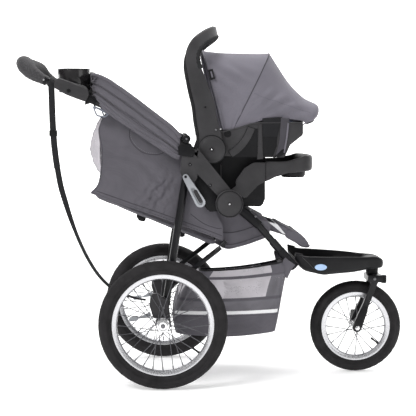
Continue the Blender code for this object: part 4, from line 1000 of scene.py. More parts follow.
# ---------------------------------------------------------------- basket
def build_basket():
    """Slung basket: net windows, bands, reflective tape and a solid lower part."""
    front = spline([(0.206, 0, 0.16), (0.216, 0, 0.21), (0.225, 0, 0.265), (0.235, 0, 0.32),
        (0.243, 0, 0.36), (0.232, 0, 0.388)], 41)
    rear = spline([(-0.118, 0, 0.156), (-0.125, 0, 0.205), (-0.113, 0, 0.26), (-0.085, 0, 0.31),
        (-0.04, 0, 0.36)], 41)
    corner = 0.16
    ring = []
    for step in range(36):
        ring.append((-1 + 2 * step / 36, -1.0))
    for step in range(24):
        ring.append((1.0, -1 + 2 * step / 24))
    for step in range(36):
        ring.append((1 - 2 * step / 36, 1.0))
    for step in range(24):
        ring.append((-1.0, 1 - 2 * step / 24))
    rounded_ring = []
    for a, b in ring:
        if abs(a) > 1 - corner and abs(b) > 1 - corner:
            ca, cb = math.copysign(1 - corner, a), math.copysign(1 - corner, b)
            reach = math.hypot(a - ca, b - cb)
            a, b = ca + (a - ca) / reach * corner, cb + (b - cb) / reach * corner
        rounded_ring.append((a, b))
    points = []
    for level in range(41):
        f = level / 40
        low, high = rear[level], front[level]
        width = 0.152 + 0.011 * f ** 0.7
        row = []
        for a, b in rounded_ring:
            t = (a + 1) / 2
            sag = 0.0075 * math.sin(math.pi * t) * (1 if f > 0.5 else f * 2)
            belly = 0.0045 * math.sin(math.pi * f) * (1 - abs(a) ** 3)
            x = low.x + (high.x - low.x) * t
            z = low.z + (high.z - low.z) * t - sag
            if f < 0.15:
                z -= 0.014 * math.sin(math.pi * t) * (1 - f / 0.15)
            z -= 0.033 * ((b + 1) / 2) ** 2 * f ** 3
            fold = 0.0034 * wander(x, b, z, 22.0, 4.0)
            y = b * (width + belly) + (math.copysign(fold, b) if abs(b) > 0.8 else 0.0)
            row.append(Vector((x + (fold if abs(b) <= 0.8 else 0.0), y, z)))
        points.append(row)
    centre_row = []
    for point, (a, b) in zip(points[0], rounded_ring):
        centre_row.append(Vector((0.043 + (point.x - 0.043) * 0.35, point.y * 0.35,
            point.z - 0.002)))
    rows = [centre_row] + points
    bm = grid_mesh(rows, closed_u=True)
    bm.verts.ensure_lookup_table()
    bm.faces.new([bm.verts[index] for index in range(len(centre_row))])
    looks = [NET, FABRIC, DARK_NET, REFLECTIVE]
    ring_count = len(rounded_ring)
    for index, face in enumerate(bm.faces):
        level = index // ring_count - 1
        column = index % ring_count
        a, b = rounded_ring[min(column, ring_count - 1)]
        f = level / 40
        shade = 1
        if level >= 0:
            window = -0.72 < a < 0.66 - 0.1 * (1 - f)
            if f < 0.262:
                shade = 1
            elif f < 0.305:
                shade = 3 if (abs(b) > 0.9 and a < 0.93) else 1
            elif f < 0.455:
                shade = 2
            elif f < 0.505:
                shade = 1
            elif f < 0.805:
                shade = 0 if (window or abs(b) < 0.8) else 2
            elif f < 0.865:
                shade = 1
            else:
                shade = 0 if (window or abs(b) < 0.8) else 1
        face.material_index = shade
    basket = from_bmesh("basket_fabric", bm, looks, "front_frame", 80)
    thicken(basket, 0.0014)
    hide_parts("basket")
    top = points[-1] + [points[-1][0]]
    tube("basket_elastic", top, 0.003, WEBBING, "front_frame", sides=8, ends=False)
    for label, level in (("hem", 34), ("band", 20), ("tape_low", 10)):
        ring_path = points[level] + [points[level][0]]
        tube("basket_seam_" + label, ring_path, 0.001, DARK_FABRIC, "front_frame", sides=6,
            ends=False)
    for side, tag in SIDES:
        ear = [(0.224, 0.386), (0.2365, 0.401), (0.246, 0.392), (0.268, 0.3765), (0.256, 0.36),
            (0.242, 0.33), (0.236, 0.34)]
        plate("basket_corner_" + tag, ear, side * 0.15, side * 0.156, FABRIC, "front_frame",
            0.0022)
        hook = spline([(0.23, side * 0.15, 0.384), (0.24, side * 0.152, 0.398),
            (0.252, side * 0.15, 0.402)], 16)
        ribbon("basket_strap_front_" + tag, hook, 0.014, 0.002, WEBBING, "front_frame",
            Vector((0.6, 0, -0.8)))


# ---------------------------------------------------------------- safety tether
TETHER = [(-0.5035, -0.225, 0.9375), (-0.5032, -0.227, 0.92), (-0.5015, -0.232, 0.87),
    (-0.499, -0.237, 0.815), (-0.494, -0.238, 0.75), (-0.486, -0.238, 0.69),
    (-0.476, -0.238, 0.635), (-0.462, -0.238, 0.585), (-0.443, -0.238, 0.525),
    (-0.42, -0.238, 0.465), (-0.393, -0.238, 0.408), (-0.36, -0.238, 0.356),
    (-0.32, -0.238, 0.316), (-0.28, -0.238, 0.295), (-0.24, -0.238, 0.282),
    (-0.212, -0.238, 0.277)]


def build_tether():
    """Flat webbing from the handle to the rear axle's housing, doubled down to a slider."""
    path = spline(TETHER, 150)
    directions = []
    for index in range(len(path)):
        turn = min(max((index / len(path) - 0.3) / 0.35, 0.0), 1.0)
        turn = turn * turn * (3 - 2 * turn) * math.radians(62)
        directions.append(Vector((math.cos(turn), math.sin(turn), 0.15 * math.cos(turn))))
    strap = ribbon("tether_webbing", path, 0.018, 0.0022, WEBBING, "handle_frame", directions)
    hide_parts("tether_strap")
    upper = [Vector((-0.5032, -0.2395, 0.962)), Vector((-0.5034, -0.237, 0.948))]
    upper += [p + Vector((0, -0.0026, 0)) for p in path[2:47]]
    double = ribbon("tether_doubled", upper, 0.02, 0.0022, WEBBING, "handle_frame", directions[:2]
        + directions[2:47])
    middle = path[26]
    frame_outline = [(middle.x - 0.0125, middle.z - 0.009), (middle.x + 0.0125, middle.z - 0.009),
        (middle.x + 0.0125, middle.z + 0.009), (middle.x - 0.0125, middle.z + 0.009)]
    slider = plate("tether_slider", frame_outline, middle.y - 0.0055, middle.y - 0.004, BLACK,
        "handle_frame", 0.0006)
    end_fold = path[46]
    fold = plate("tether_fold", [(end_fold.x - 0.0098, end_fold.z - 0.006), (end_fold.x + 0.0098,
        end_fold.z - 0.006), (end_fold.x + 0.0098, end_fold.z + 0.006), (end_fold.x - 0.0098,
        end_fold.z + 0.006)], end_fold.y - 0.0052, end_fold.y - 0.0014, WEBBING, "handle_frame",
        0.0012)


# ---------------------------------------------------------------- infant carrier
HOOD_BOWS = (  # foot (x, z), top (x, z), half width; from behind the handle to the front rim
    ((0.0345, 0.811), (-0.029, 1.069), 0.1885), ((0.048, 0.8125), (0.025, 1.065), 0.1905),
    ((0.058, 0.8135), (0.105, 1.061), 0.192), ((0.066, 0.8145), (0.1895, 1.06), 0.1925),
    ((0.11, 0.828), (0.223, 1.009), 0.195), ((0.17, 0.847), (0.261, 0.956), 0.1955),
    ((0.235, 0.848), (0.302, 0.915), 0.193), ((0.285, 0.841), (0.345, 0.8915), 0.183),
    ((0.296, 0.834), (0.3465, 0.862), 0.18), ((0.29, 0.829), (0.331, 0.842), 0.177))
RIDGE_BOW = 3


def hood_row(foot, top, half_width, steps):
    """One bow of the hood as points from the right foot over the top to the left foot."""
    row = []
    for step in range(steps + 1):
        angle = math.pi * step / steps
        across = -math.cos(angle)
        lift = max(math.sin(angle), 0.0) ** 0.55
        row.append(Vector((foot[0] + (top[0] - foot[0]) * lift, math.copysign(abs(across) ** 0.6,
            across) * half_width, foot[1] + (top[1] - foot[1]) * lift)))
    return row


def hood_bows():
    """The hood's rows: straight between the bows behind the ridge, a hollow curve in front."""
    values = [Vector((*foot, *top)) for foot, top, half in HOOD_BOWS]
    halves = [half for foot, top, half in HOOD_BOWS]
    rows = []
    for index in range(len(values) - 1):
        before = values[index - 1] if index > 0 and index != RIDGE_BOW else values[index]
        last = index + 2 >= len(values) or index + 1 == RIDGE_BOW
        after = values[index + 1] if last else values[index + 2]
        for step in range(14):
            t = step / 14
            p1, p2 = values[index], values[index + 1]
            value = 0.5 * (2 * p1 + (p2 - before) * t + (2 * before - 5 * p1 + 4 * p2 - after) * t
                * t + (3 * p1 - before - 3 * p2 + after) * t * t * t)
            rows.append((index + t, value, halves[index] * (1 - t) + halves[index + 1] * t))
    rows.append((len(values) - 1.0, values[-1], halves[-1]))
    return rows


def build_hood():
    """Hood sheet with its ridge seam, hems, creases and rolled visor edge."""
    steps = 110
    points = []
    for position, value, half in hood_bows():
        row = hood_row((value[0], value[1]), (value[2], value[3]), half, steps)
        rear = position < RIDGE_BOW
        span = position / RIDGE_BOW if rear else (position - RIDGE_BOW) / 4.0
        sag = math.sin(math.pi * min(max(span, 0.0), 1.0)) * (0.0035 if rear else 0.002)
        shaped = []
        for step, point in enumerate(row):
            height = math.sin(math.pi * step / steps)
            inward = Vector((0.0, -math.copysign(1 - height, point.y), -height)).normalized()
            crease = 0.0
            if rear:
                drag = point.x * 0.62 + point.z * 1.0
                zone = math.exp(-((height - 0.42) / 0.26) ** 2) * math.sin(math.pi * span)
                crease = 0.0034 * zone * math.sin(drag * 150.0 + 3.0 * wander(point.x, point.y,
                    point.z, 7.0, 3.0))
                foot_zone = math.exp(-(height / 0.22) ** 2)
                crease += 0.006 * foot_zone * wander(point.x, point.y, point.z, 60.0, 6.0)
            else:
                fan = math.atan2(point.z - 0.8145, point.x - 0.066)
                zone = math.exp(-((height - 0.25) / 0.25) ** 2) * min(span * 2.5, 1.0)
                crease = 0.0028 * zone * math.sin(fan * 30.0)
            soft = 0.0026 * wander(point.x, point.y, point.z, 13.0, 5.0)
            shaped.append(point + inward * (sag * min(height * 2.5, 1.0) + crease + soft))
        points.append(shaped)
    hood = from_bmesh("hood_fabric", grid_mesh(points), LIGHT_FABRIC, None, 75)
    thicken(hood, 0.0015)
    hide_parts("carrier_canopy")
    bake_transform(hood)
    ridge = points[RIDGE_BOW * 14]
    piping("hood_ridge_seam", ridge, "carrier", 0.0019, DARK_FABRIC)
    front = RIDGE_BOW * 14
    for side, tag in SIDES:
        column = 0 if side < 0 else -1
        lower = [row[column] for row in points[front:]]
        piping("hood_hem_" + tag, lower, "carrier", 0.0022, LIGHT_FABRIC)
        gusset = [row[column + (9 if side < 0 else -9)] + Vector((0, side * 0.0012, 0))
            for row in points[front + 4:front + 57]]
        stitches("hood_stitches_" + tag, gusset, "carrier", look=DARK_FABRIC)
    visor = points[-1]
    tube("hood_visor_roll", visor[2:-2], 0.0034, WEBBING, "carrier", sides=10)
    crease_row = points[7 * 14]
    piping("hood_visor_seam", crease_row, "carrier", 0.0012, LIGHT_FABRIC)
    rear = points[0]
    bow = tube("hood_rear_bow", rear, 0.0038, LIGHT_FABRIC, "hood", sides=10)
    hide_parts("hood_bow")
    edge = [point + Vector((-0.0036, 0, 0)) for point in rear]
    piping("hood_rear_piping", edge, "hood", 0.0014, WEBBING)
    for side, tag in SIDES:
        at = 13 if side < 0 else len(rear) - 14
        first, second = rear[at], rear[at + (6 if side < 0 else -6)]
        strip = [first, first.lerp(second, 0.5), second]
        ribbon("hood_tag_" + tag, [p + Vector((0.003, side * 0.0062, 0.012)) for p in strip],
            0.016, 0.0012, WEBBING, "hood", Vector((1, 0, 0.2)))
        label = [p + Vector((0.003, side * 0.007, 0.012)) for p in strip]
        ribbon("hood_tag_patch_" + tag, [label[0].lerp(label[2], t) for t in (0.2, 0.5, 0.8)],
            0.005, 0.0012, LIGHT_FABRIC, "hood", Vector((1, 0, 0.2)))


CARRY_STATIONS = (  # x, z, distance from the middle plane, half width, half thickness, lean
    (-0.0035, 0.75, 0.2085, 0.039, 0.0068, 0.0), (-0.0095, 0.8, 0.2085, 0.035, 0.0068, 8.0),
    (-0.0194, 0.845, 0.2085, 0.0325, 0.0068, 12.0), (-0.026, 0.893, 0.2085, 0.032, 0.0068, 14.0),
    (-0.0423, 0.946, 0.2085, 0.0282, 0.0068, 14.0), (-0.061, 1.012, 0.2075, 0.0222, 0.007, 8.0),
    (-0.0638, 1.038, 0.206, 0.0205, 0.0075, 0.0), (-0.06, 1.06, 0.199, 0.0205, 0.008, -18.0),
    (-0.0449, 1.086, 0.185, 0.0203, 0.0085, -45.0), (-0.018, 1.109, 0.15, 0.0192, 0.009, -62.0),
    (0.003, 1.122, 0.1, 0.0188, 0.0095, -72.0), (0.011, 1.128, 0.04, 0.0188, 0.0095, -78.0))


def build_carry_handle():
    """Bail handle with pivot covers, a dark outer lip and a ribbed inner grip."""
    full = [(x, -y, z, half, thick, lean) for x, z, y, half, thick, lean in CARRY_STATIONS]
    full += [(x, -y, z, half, thick, lean) for x, y, z, half, thick, lean in reversed(full)]
    count = 150
    centres = spline([station[:3] for station in full], count)
    lengths = [0.0]
    for before, after in zip(full, full[1:]):
        lengths.append(lengths[-1] + (Vector(after[:3]) - Vector(before[:3])).length)
    rows, outer_edge, inner_edges = [], [], []
    for index, centre in enumerate(centres):
        goal = lengths[-1] * index / (count - 1)
        at = 0
        while at < len(full) - 2 and lengths[at + 1] < goal:
            at += 1
        t = min(max((goal - lengths[at]) / (lengths[at + 1] - lengths[at]), 0.0), 1.0)
        half, thick, lean = (full[at][k] * (1 - t) + full[at + 1][k] * t for k in (3, 4, 5))
        along = (centres[min(index + 1, count - 1)] - centres[max(index - 1, 0)]).normalized()
        turn = math.radians(lean)
        wide = Vector((math.cos(turn), 0, math.sin(turn)))
        wide = (wide - along * wide.dot(along)).normalized()
        through = along.cross(wide).normalized()
        row = []
        for step in range(28):
            angle = 2 * math.pi * step / 28
            a, b = math.cos(angle), math.sin(angle)
            row.append(centre + wide * (half * math.copysign(abs(a) ** 0.22, a))
                + through * (thick * math.copysign(abs(b) ** 0.35, b)))
        rows.append(row)
        outer_edge.append(centre - wide * (half - 0.0004))
        inner_edges.append((centre, wide, through, half, thick))
    bm = grid_mesh(rows, closed_u=True, cap=True)
    handle = from_bmesh("carry_handle_skin", bm, CHARCOAL, "carry_handle", 50)
    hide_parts("carrier_handle")
    tube("carry_handle_lip", outer_edge[6:-6], 0.0026, BLACK, "carry_handle", sides=8)
    span = inner_edges[34:116]
    grip = []
    for number, (centre, wide, through, half, thick) in enumerate(span):
        rib = 0.0012 if number % 2 else 0.0
        row = []
        for step in range(16):
            angle = 2 * math.pi * step / 16
            row.append(centre + wide * (half * 0.8 + math.cos(angle) * (half * 0.36 + rib))
                + through * (math.sin(angle) * (thick + 0.0012 + rib)))
        grip.append(row)
    from_bmesh("carry_handle_grip", grid_mesh(grip, closed_u=True, cap=True), SOFT_BLACK,
        "carry_handle", 50)
    for side, tag in SIDES:
        cover = [(0.0, 0.2005), (0.0425, 0.2005), (0.043, 0.2015), (0.043, 0.2165),
            (0.042, 0.2178), (0.039, 0.2182), (0.038, 0.2176), (0.0372, 0.2182), (0.009, 0.2186),
            (0.008, 0.2172), (0.0, 0.2172)]
        lathe("carry_pivot_cover_" + tag, [(r, side * y) for r, y in cover], (CARRIER_PIVOT[0], 0,
            CARRIER_PIVOT[1]), CHARCOAL, "carry_handle", segments=72, closed=False)
        ring = [(CARRIER_PIVOT[0] + 0.0438 * math.cos(t), side * 0.2158, CARRIER_PIVOT[1]
            + 0.0438 * math.sin(t)) for t in angles(72, 1)]
        tube("carry_pivot_ring_" + tag, ring, 0.0019, BLACK, "carry_handle", sides=8, ends=False)
        screw_head("carry_pivot_bolt_" + tag, *CARRIER_PIVOT, side * 0.2172, side, "carry_handle",
            0.0055, BLACK)
        screw_head("carry_pivot_bolt_core_" + tag, *CARRIER_PIVOT, side * 0.2182, side,
            "carry_handle", 0.0026, CHROME)
        screw_head("carry_rivet_" + tag, 0.0095, 0.812, side * 0.215, side, "carry_handle", 0.0032,
            SCREW)
        screw_head("carry_plug_" + tag, -0.0235, 0.883, side * 0.2148, side, "carry_handle",
            0.0034, BLACK)


def build_carrier_details():
    """Shell skin, side trims, belt guides, liner edge and padding."""
    shell = refine("carrier_shell", [CHARCOAL, SHELL_BLACK], 0.003)
    for polygon in shell.data.polygons:
        centre = polygon.center
        polygon.material_index = 1 if abs(centre.y) < 0.19 or centre.z < 0.726 else 0
    puff("carrier_pad", PAD_FABRIC, 0.008, 0.001, 0.006, 3.0)
    collar = []
    for index in range(41):
        y = -0.135 + 0.27 * index / 40
        hang = (1 - (abs(y) / 0.135) ** 4)
        row = []
        for step in range(18):
            angle = 2 * math.pi * step / 18
            row.append(Vector((-0.0285 + 0.0105 * math.cos(angle) - 0.0035 * hang, y,
                0.808 + 0.024 * math.sin(angle) + 0.006 * hang + 0.002 * wander(y, angle, 0.0, 9.0,
                4.0))))
        collar.append(row)
    padding = from_bmesh("carrier_collar", grid_mesh(collar, closed_u=True, cap=True), PAD_FABRIC,
        "carrier", 70)
    for side, tag in SIDES:
        face = side * 0.1994

        def trim(label, outline, height, look, bevel=0.0008):
            return plate(label + "_" + tag, outline, face, face + side * height, look, "carrier",
                bevel)

        outer = arc((-0.018, 0.862), 0.159, -60, -17, 14)
        inner = arc((-0.018, 0.862), 0.135, -17, -60, 14)
        trim("carrier_arc_band", outer + inner, 0.0016, CHARCOAL)
        lower = outer + [(0.1425, 0.816), (0.1425, 0.7262), (0.0615, 0.7243)]
        trim("carrier_lower_side", lower, 0.0012, SHELL_BLACK, 0.0004)
        rim = outer + inner + outer[:1]
        tube("carrier_arc_rim_" + tag, [(x, face + side * 0.0016, z) for x, z in rim], 0.0011,
            BLACK, "carrier", sides=6)
        knob = arc((0.0475, 0.799), 0.0115, 0, 345, 23)
        trim("carrier_mount_tab", knob, 0.0012, BLACK, 0.0005)
        screw_head("carrier_mount_bolt_" + tag, 0.0475, 0.799, face - side * 0.0006, side,
            "carrier", 0.004, BLACK)
        strip = [(0.141, 0.718), (0.16, 0.72), (0.1575, 0.76), (0.156, 0.83), (0.146, 0.83),
            (0.144, 0.77)]
        trim("carrier_strip", strip, 0.003, CHARCOAL)
        net = [(0.16, 0.73), (0.164, 0.725), (0.19, 0.725), (0.203, 0.76), (0.21, 0.852),
            (0.157, 0.848)]
        trim("carrier_net_panel", net, 0.001, SHELL_BLACK)
        weave = [(0.16, 0.79), (0.205, 0.79), (0.22, 0.852), (0.157, 0.848)]
        trim("carrier_net_upper", weave, 0.0016, WEBBING, 0.0003)
        liner = [(0.199, 0.726), (0.226, 0.738), (0.235, 0.786), (0.242, 0.848), (0.216, 0.85),
            (0.212, 0.78)]
        trim("carrier_liner_panel", liner, 0.0026, DARK_FABRIC, 0.0011)
        edge = spline([(0.2262, face + side * 0.0018, 0.739), (0.2345, face + side * 0.0022,
            0.786), (0.2395, face + side * 0.0022, 0.833)], 24)
        tube("carrier_liner_edge_" + tag, edge, 0.0028, LIGHT_FABRIC, "carrier", sides=8)
        base = [(0.19, 0.723), (0.212, 0.726), (0.229, 0.735), (0.229, 0.752), (0.22, 0.75),
            (0.21, 0.74)]
        trim("carrier_lower_corner", base, 0.004, BLACK, 0.0014)
        screw_head("carrier_stud_rear_" + tag, -0.026, 0.709, side * 0.16, side, "carrier", 0.0036,
            BLACK)
        screw_head("carrier_stud_" + tag, 0.0275, 0.706, side * 0.1585, side, "carrier", 0.0036,
            BLACK)
        tube("carrier_rib_" + tag, [(0.0275, side * 0.1585, 0.7), (0.0275, side * 0.1585, 0.64)],
            0.0022, CHARCOAL, "carrier", sides=8)
        crest = spline([(-0.02, side * 0.199, 0.798), (0.033, side * 0.199, 0.806),
            (0.085, side * 0.199, 0.819), (0.144, side * 0.199, 0.833), (0.286, side * 0.199,
            0.834)], 60)
        tube("carrier_rim_" + tag, crest, 0.0026, CHARCOAL, "carrier", sides=10)


# ---------------------------------------------------------------- handle, console and trays
def build_grip():
    """Foam grip round the bent end of the handle, with its end bands."""
    half = [(-0.5173, 0.225, 0.9634), (-0.535, 0.225, 0.9722), (-0.5541, 0.2245, 0.9829),
        (-0.57, 0.22, 0.995), (-0.5826, 0.205, 1.01), (-0.593, 0.17, 1.019), (-0.603, 0.11, 1.024),
        (-0.608, 0.04, 1.026)]
    full = [(x, -y, z) for x, y, z in half] + list(reversed(half))
    path = spline(full, 170)
    swells = ((0, 0.014), (6, 0.017), (12, 0.0205), (19, 0.0245), (27, 0.027), (38, 0.0245),
        (55, 0.0228), (85, 0.0226))
    radii = []
    for index in range(len(path)):
        s = min(index, len(path) - 1 - index)
        for (s1, r1), (s2, r2) in zip(swells, swells[1:]):
            if s1 <= s <= s2:
                size = r1 + (r2 - r1) * (s - s1) / (s2 - s1)
        radii.append(size + 0.0005 * math.sin(index * 1.9))
    grip = tube("handle_foam", path, radii, FOAM, "handle_frame", sides=32)
    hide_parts("handle_grip")
    for side, tag in SIDES:
        ends = path[:4] if side < 0 else path[-4:]
        tube("handle_end_band_" + tag, ends, 0.0152, BLACK, "handle_frame", sides=32)
        dot = path[3] if side < 0 else path[-4]
        lathe("handle_stud_" + tag, [(0, 0), (0.003, 0), (0.0026, side * 0.0016),
            (0, side * 0.002)], (dot.x, dot.y + side * 0.015, dot.z), CHROME, "handle_frame",
            segments=16, closed=False)
    tube("handle_centre_band", [(-0.6088, -0.026, 1.0262), (-0.6088, 0.026, 1.0262)], 0.0236,
        SOFT_BLACK, "handle_frame", sides=32)


def build_console():
    """Glossy cups, clamp rings, lid catch and fixings of the parent console."""
    for side, tag in SIDES:
        cup = [(0.0, 0.9385), (0.049, 0.9385), (0.0508, 0.941), (0.0508, 1.0028), (0.05, 1.0046),
            (0.0446, 1.0046), (0.0438, 1.0028), (0.0425, 0.9425), (0.0, 0.9425)]
        lathe("cup_skin_" + tag, cup, (CUP[0], side * CUP[1], 0), GLOSS, "handle_frame", axis="Z",
            segments=96, closed=False)
        lathe("cup_lip_" + tag, [(0.0504, 1.0015), (0.0515, 1.0024), (0.0515, 1.0038),
            (0.0502, 1.0048), (0.0496, 1.0032)], (CUP[0], side * CUP[1], 0), GLOSS, "handle_frame",
            axis="Z", segments=96)
        cheek = [(-0.495, 0.96), (-0.4907, 0.97), (-0.4776, 0.9735), (-0.4477, 0.963),
            (-0.4157, 0.95), (-0.39, 0.941), (-0.3858, 0.9195), (-0.3986, 0.8995),
            (-0.4263, 0.909), (-0.4584, 0.9216), (-0.4843, 0.9366), (-0.4937, 0.942)]
        plate("console_cheek_" + tag, cheek, side * 0.232, side * 0.2472, CHARCOAL, "handle_frame",
            0.005, 4)
        screw_head("console_bolt_" + tag, -0.4489, 0.9332, side * 0.247, side, "handle_frame",
            0.0064, BLACK)
        clamp = [(-0.3965, 0.918), (-0.362, 0.8985), (-0.3725, 0.889), (-0.38, 0.896),
            (-0.4005, 0.889)]
        plate("trigger_clamp_" + tag, clamp, side * 0.233, side * 0.239, BLACK, "handle_frame",
            0.0025)
    plate("lid_catch", [(-0.483, 0.979), (-0.477, 0.979), (-0.477, 0.9835), (-0.483, 0.9825)],
        -0.016, 0.016, BLACK, "lid", 0.0012)
    plate("lid_rim", [(-0.47, 0.98), (-0.408, 0.98), (-0.41, 0.9812), (-0.468, 0.9812)], -0.08,
        0.08, GLOSS, "lid", 0.0005)


TRAY_PLAN = [(0.169, 0.187), (0.21, 0.1872), (0.255, 0.185), (0.292, 0.173), (0.313, 0.145),
    (0.3225, 0.095), (0.3255, 0.04)]
TRAY_TOP = [(0.169, 0.711), (0.23, 0.712), (0.28, 0.7215), (0.306, 0.729), (0.34, 0.73)]
TRAY_BASE = [(0.169, 0.648), (0.208, 0.664), (0.24, 0.674), (0.28, 0.677), (0.306, 0.679),
    (0.34, 0.683)]


def at_x(curve, x):
    """Height of an x-z polyline at x."""
    for (x1, z1), (x2, z2) in zip(curve, curve[1:]):
        if x <= x2:
            t = (x - x1) / (x2 - x1)
            t = t * t * (3 - 2 * t) * 0.5 + t * 0.5
            return z1 + (z2 - z1) * t
    return curve[-1][1]


def build_child_tray():
    """Child tray: a rounded bumper wall round a dished floor with a cup well."""
    half = [(x, -y, 0) for x, y in TRAY_PLAN]
    full = half + [(0.326, 0.0, 0)] + [(x, -y, 0) for x, y, z in reversed(half)]
    path = spline(full, 121)
    rows = []
    for index, point in enumerate(path):
        along = (path[min(index + 1, 120)] - path[max(index - 1, 0)]).normalized()
        outward = Vector((along.y, -along.x, 0))
        high = at_x(TRAY_TOP, point.x)
        low = at_x(TRAY_BASE, point.x)
        middle, tall = (high + low) / 2, (high - low) / 2
        bulge = 0.0045 * min(max((point.x - 0.2) / 0.08, 0), 1)
        row = []
        for step in range(28):
            angle = 2 * math.pi * step / 28
            a, b = math.cos(angle), math.sin(angle)
            row.append(Vector((point.x, point.y, middle))
                + outward * ((0.0062 + bulge) * math.copysign(abs(a) ** 0.6, a) - bulge)
                + Vector((0, 0, tall * math.copysign(abs(b) ** 0.45, b))))
        rows.append(row)
    wall = from_bmesh("child_tray_wall", grid_mesh(rows, closed_u=True, cap=True), CHARCOAL,
        "tray", 60)
    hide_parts("child_tray")
    inner = [(p.x, p.y * 0.975) for p in path]
    bm = bmesh.new()
    face = bm.faces.new([bm.verts.new((min(x, 0.316), y, 0.69)) for x, y in inner])
    lifted = bmesh.ops.extrude_face_region(bm, geom=[face])
    bmesh.ops.translate(bm, vec=(0, 0, 0.006), verts=[v for v in lifted["geom"] if isinstance(v,
        bmesh.types.BMVert)])
    from_bmesh("child_tray_floor", bm, CHARCOAL, "tray")
    for side, tag in SIDES:
        well = [(0.0, 0.66), (0.033, 0.66), (0.037, 0.664), (0.04, 0.698), (0.043, 0.6985),
            (0.043, 0.697), (0.0412, 0.696), (0.0392, 0.665), (0.0345, 0.658), (0.0, 0.658)]
        lathe("child_cup_" + tag, well, (0.264, side * 0.108, 0), BLACK, "tray", axis="Z",
            segments=72, closed=False)
        seam = [(0.169, side * 0.1935, z) for z in (0.649, 0.68, 0.711)]
        tube("child_tray_seam_" + tag, seam, 0.0009, BLACK, "tray", sides=6)


# ---------------------------------------------------------------- frame details
def build_hinge_details():
    """Fixings, covers and inserts on the folding joints of both sides."""
    for side, tag in SIDES:
        out = side * 0.249
        for label, x, z, size in (("upper", -0.0725, 0.704, 0.005), ("lower", -0.0095, 0.639,
                0.005)):
            screw_head("bracket_bolt_%s_%s" % (label, tag), x, z, out, side, "handle_frame", size,
                BLACK)
            screw_head("bracket_core_%s_%s" % (label, tag), x, z, out + side * 0.0014, side,
                "handle_frame", size * 0.45, SCREW)
        screw_head("lever_bolt_" + tag, -0.0865, 0.666, side * 0.259, side, "lever_" + tag, 0.0044,
            BLACK)
        slot = (arc((-0.0395, 0.59), 0.0062, -150, 30, 10) + arc((-0.056, 0.62), 0.0062, 30, 210,
            10))
        plate("lever_insert_" + tag, slot, side * 0.2588, side * 0.2598, CHARCOAL, "lever_" + tag,
            0.0003)
        for step in range(6):
            t = step / 5
            x, z = -0.04 - 0.015 * t, 0.592 + 0.027 * t
            tube("lever_rib_%d_%s" % (step, tag), [(x - 0.0044, side * 0.2599, z - 0.0024),
                (x + 0.0044, side * 0.2599, z + 0.0024)], 0.0007, BLACK, "lever_" + tag, sides=6)
        cover = [(0.0, 0.266), (0.0385, 0.266), (0.04, 0.2672), (0.0415, 0.268), (0.0428, 0.2672),
            (0.0432, 0.264), (0.0432, 0.25)]
        lathe("hub_cover_" + tag, [(r, side * y) for r, y in cover], (HUB[0], 0, HUB[1]), CHARCOAL,
            "front_frame", segments=96, closed=False)
        ring = [(HUB[0] + 0.04 * math.cos(t), side * 0.2676, HUB[1] + 0.04 * math.sin(t))
            for t in angles(72, 1)]
        tube("hub_ring_" + tag, ring, 0.0012, BLACK, "front_frame", sides=8, ends=False)
        screw_head("hub_bolt_" + tag, *HUB, side * 0.266, side, "front_frame", 0.0062, BLACK)
        screw_head("hub_core_" + tag, *HUB, side * 0.2672, side, "front_frame", 0.0032, CHROME)
        knob = [(0.0, 0.259), (0.007, 0.259), (0.01, 0.2584), (0.0125, 0.257), (0.013, 0.25),
            (0.0, 0.25)]
        lathe("canopy_knob_" + tag, [(r, side * y) for r, y in knob], (CANOPY_PIVOT[0], 0,
            CANOPY_PIVOT[1] - 0.006), BLACK, "handle_frame", segments=36, closed=False)
        screw_head("canopy_knob_core_" + tag, CANOPY_PIVOT[0], CANOPY_PIVOT[1] - 0.006,
            side * 0.2588, side, "handle_frame", 0.0034, SCREW)
        for label, x, z in (("upper", 0.1215, 0.557), ("lower", 0.1375, 0.536)):
            screw_head("sleeve_rivet_%s_%s" % (label, tag), x, z, side * 0.183, side,
                "front_frame", 0.0036, SCREW)
        backing = [(-0.056, 0.67), (-0.03, 0.66), (0.02, 0.61), (0.02, 0.556), (-0.01, 0.554),
            (-0.03, 0.59), (-0.056, 0.64)]
        plate("hinge_backing_" + tag, backing, side * 0.2246, side * 0.2254, BLACK, "handle_frame",
            0.0002)
        collar = [(-0.11, 0.76), (-0.1, 0.77), (-0.07, 0.77), (-0.056, 0.742), (-0.064, 0.727),
            (-0.108, 0.733)]
        plate("tube_socket_" + tag, collar, side * 0.246, side * 0.253, BLACK, "handle_frame",
            0.0025)
        for label, x, z in (("upper", -0.156, 0.213), ("lower", -0.16, 0.196)):
            screw_head("brake_bolt_%s_%s" % (label, tag), x, z + 0.04, side * 0.249, side,
                "rear_frame", 0.0036, SCREW)


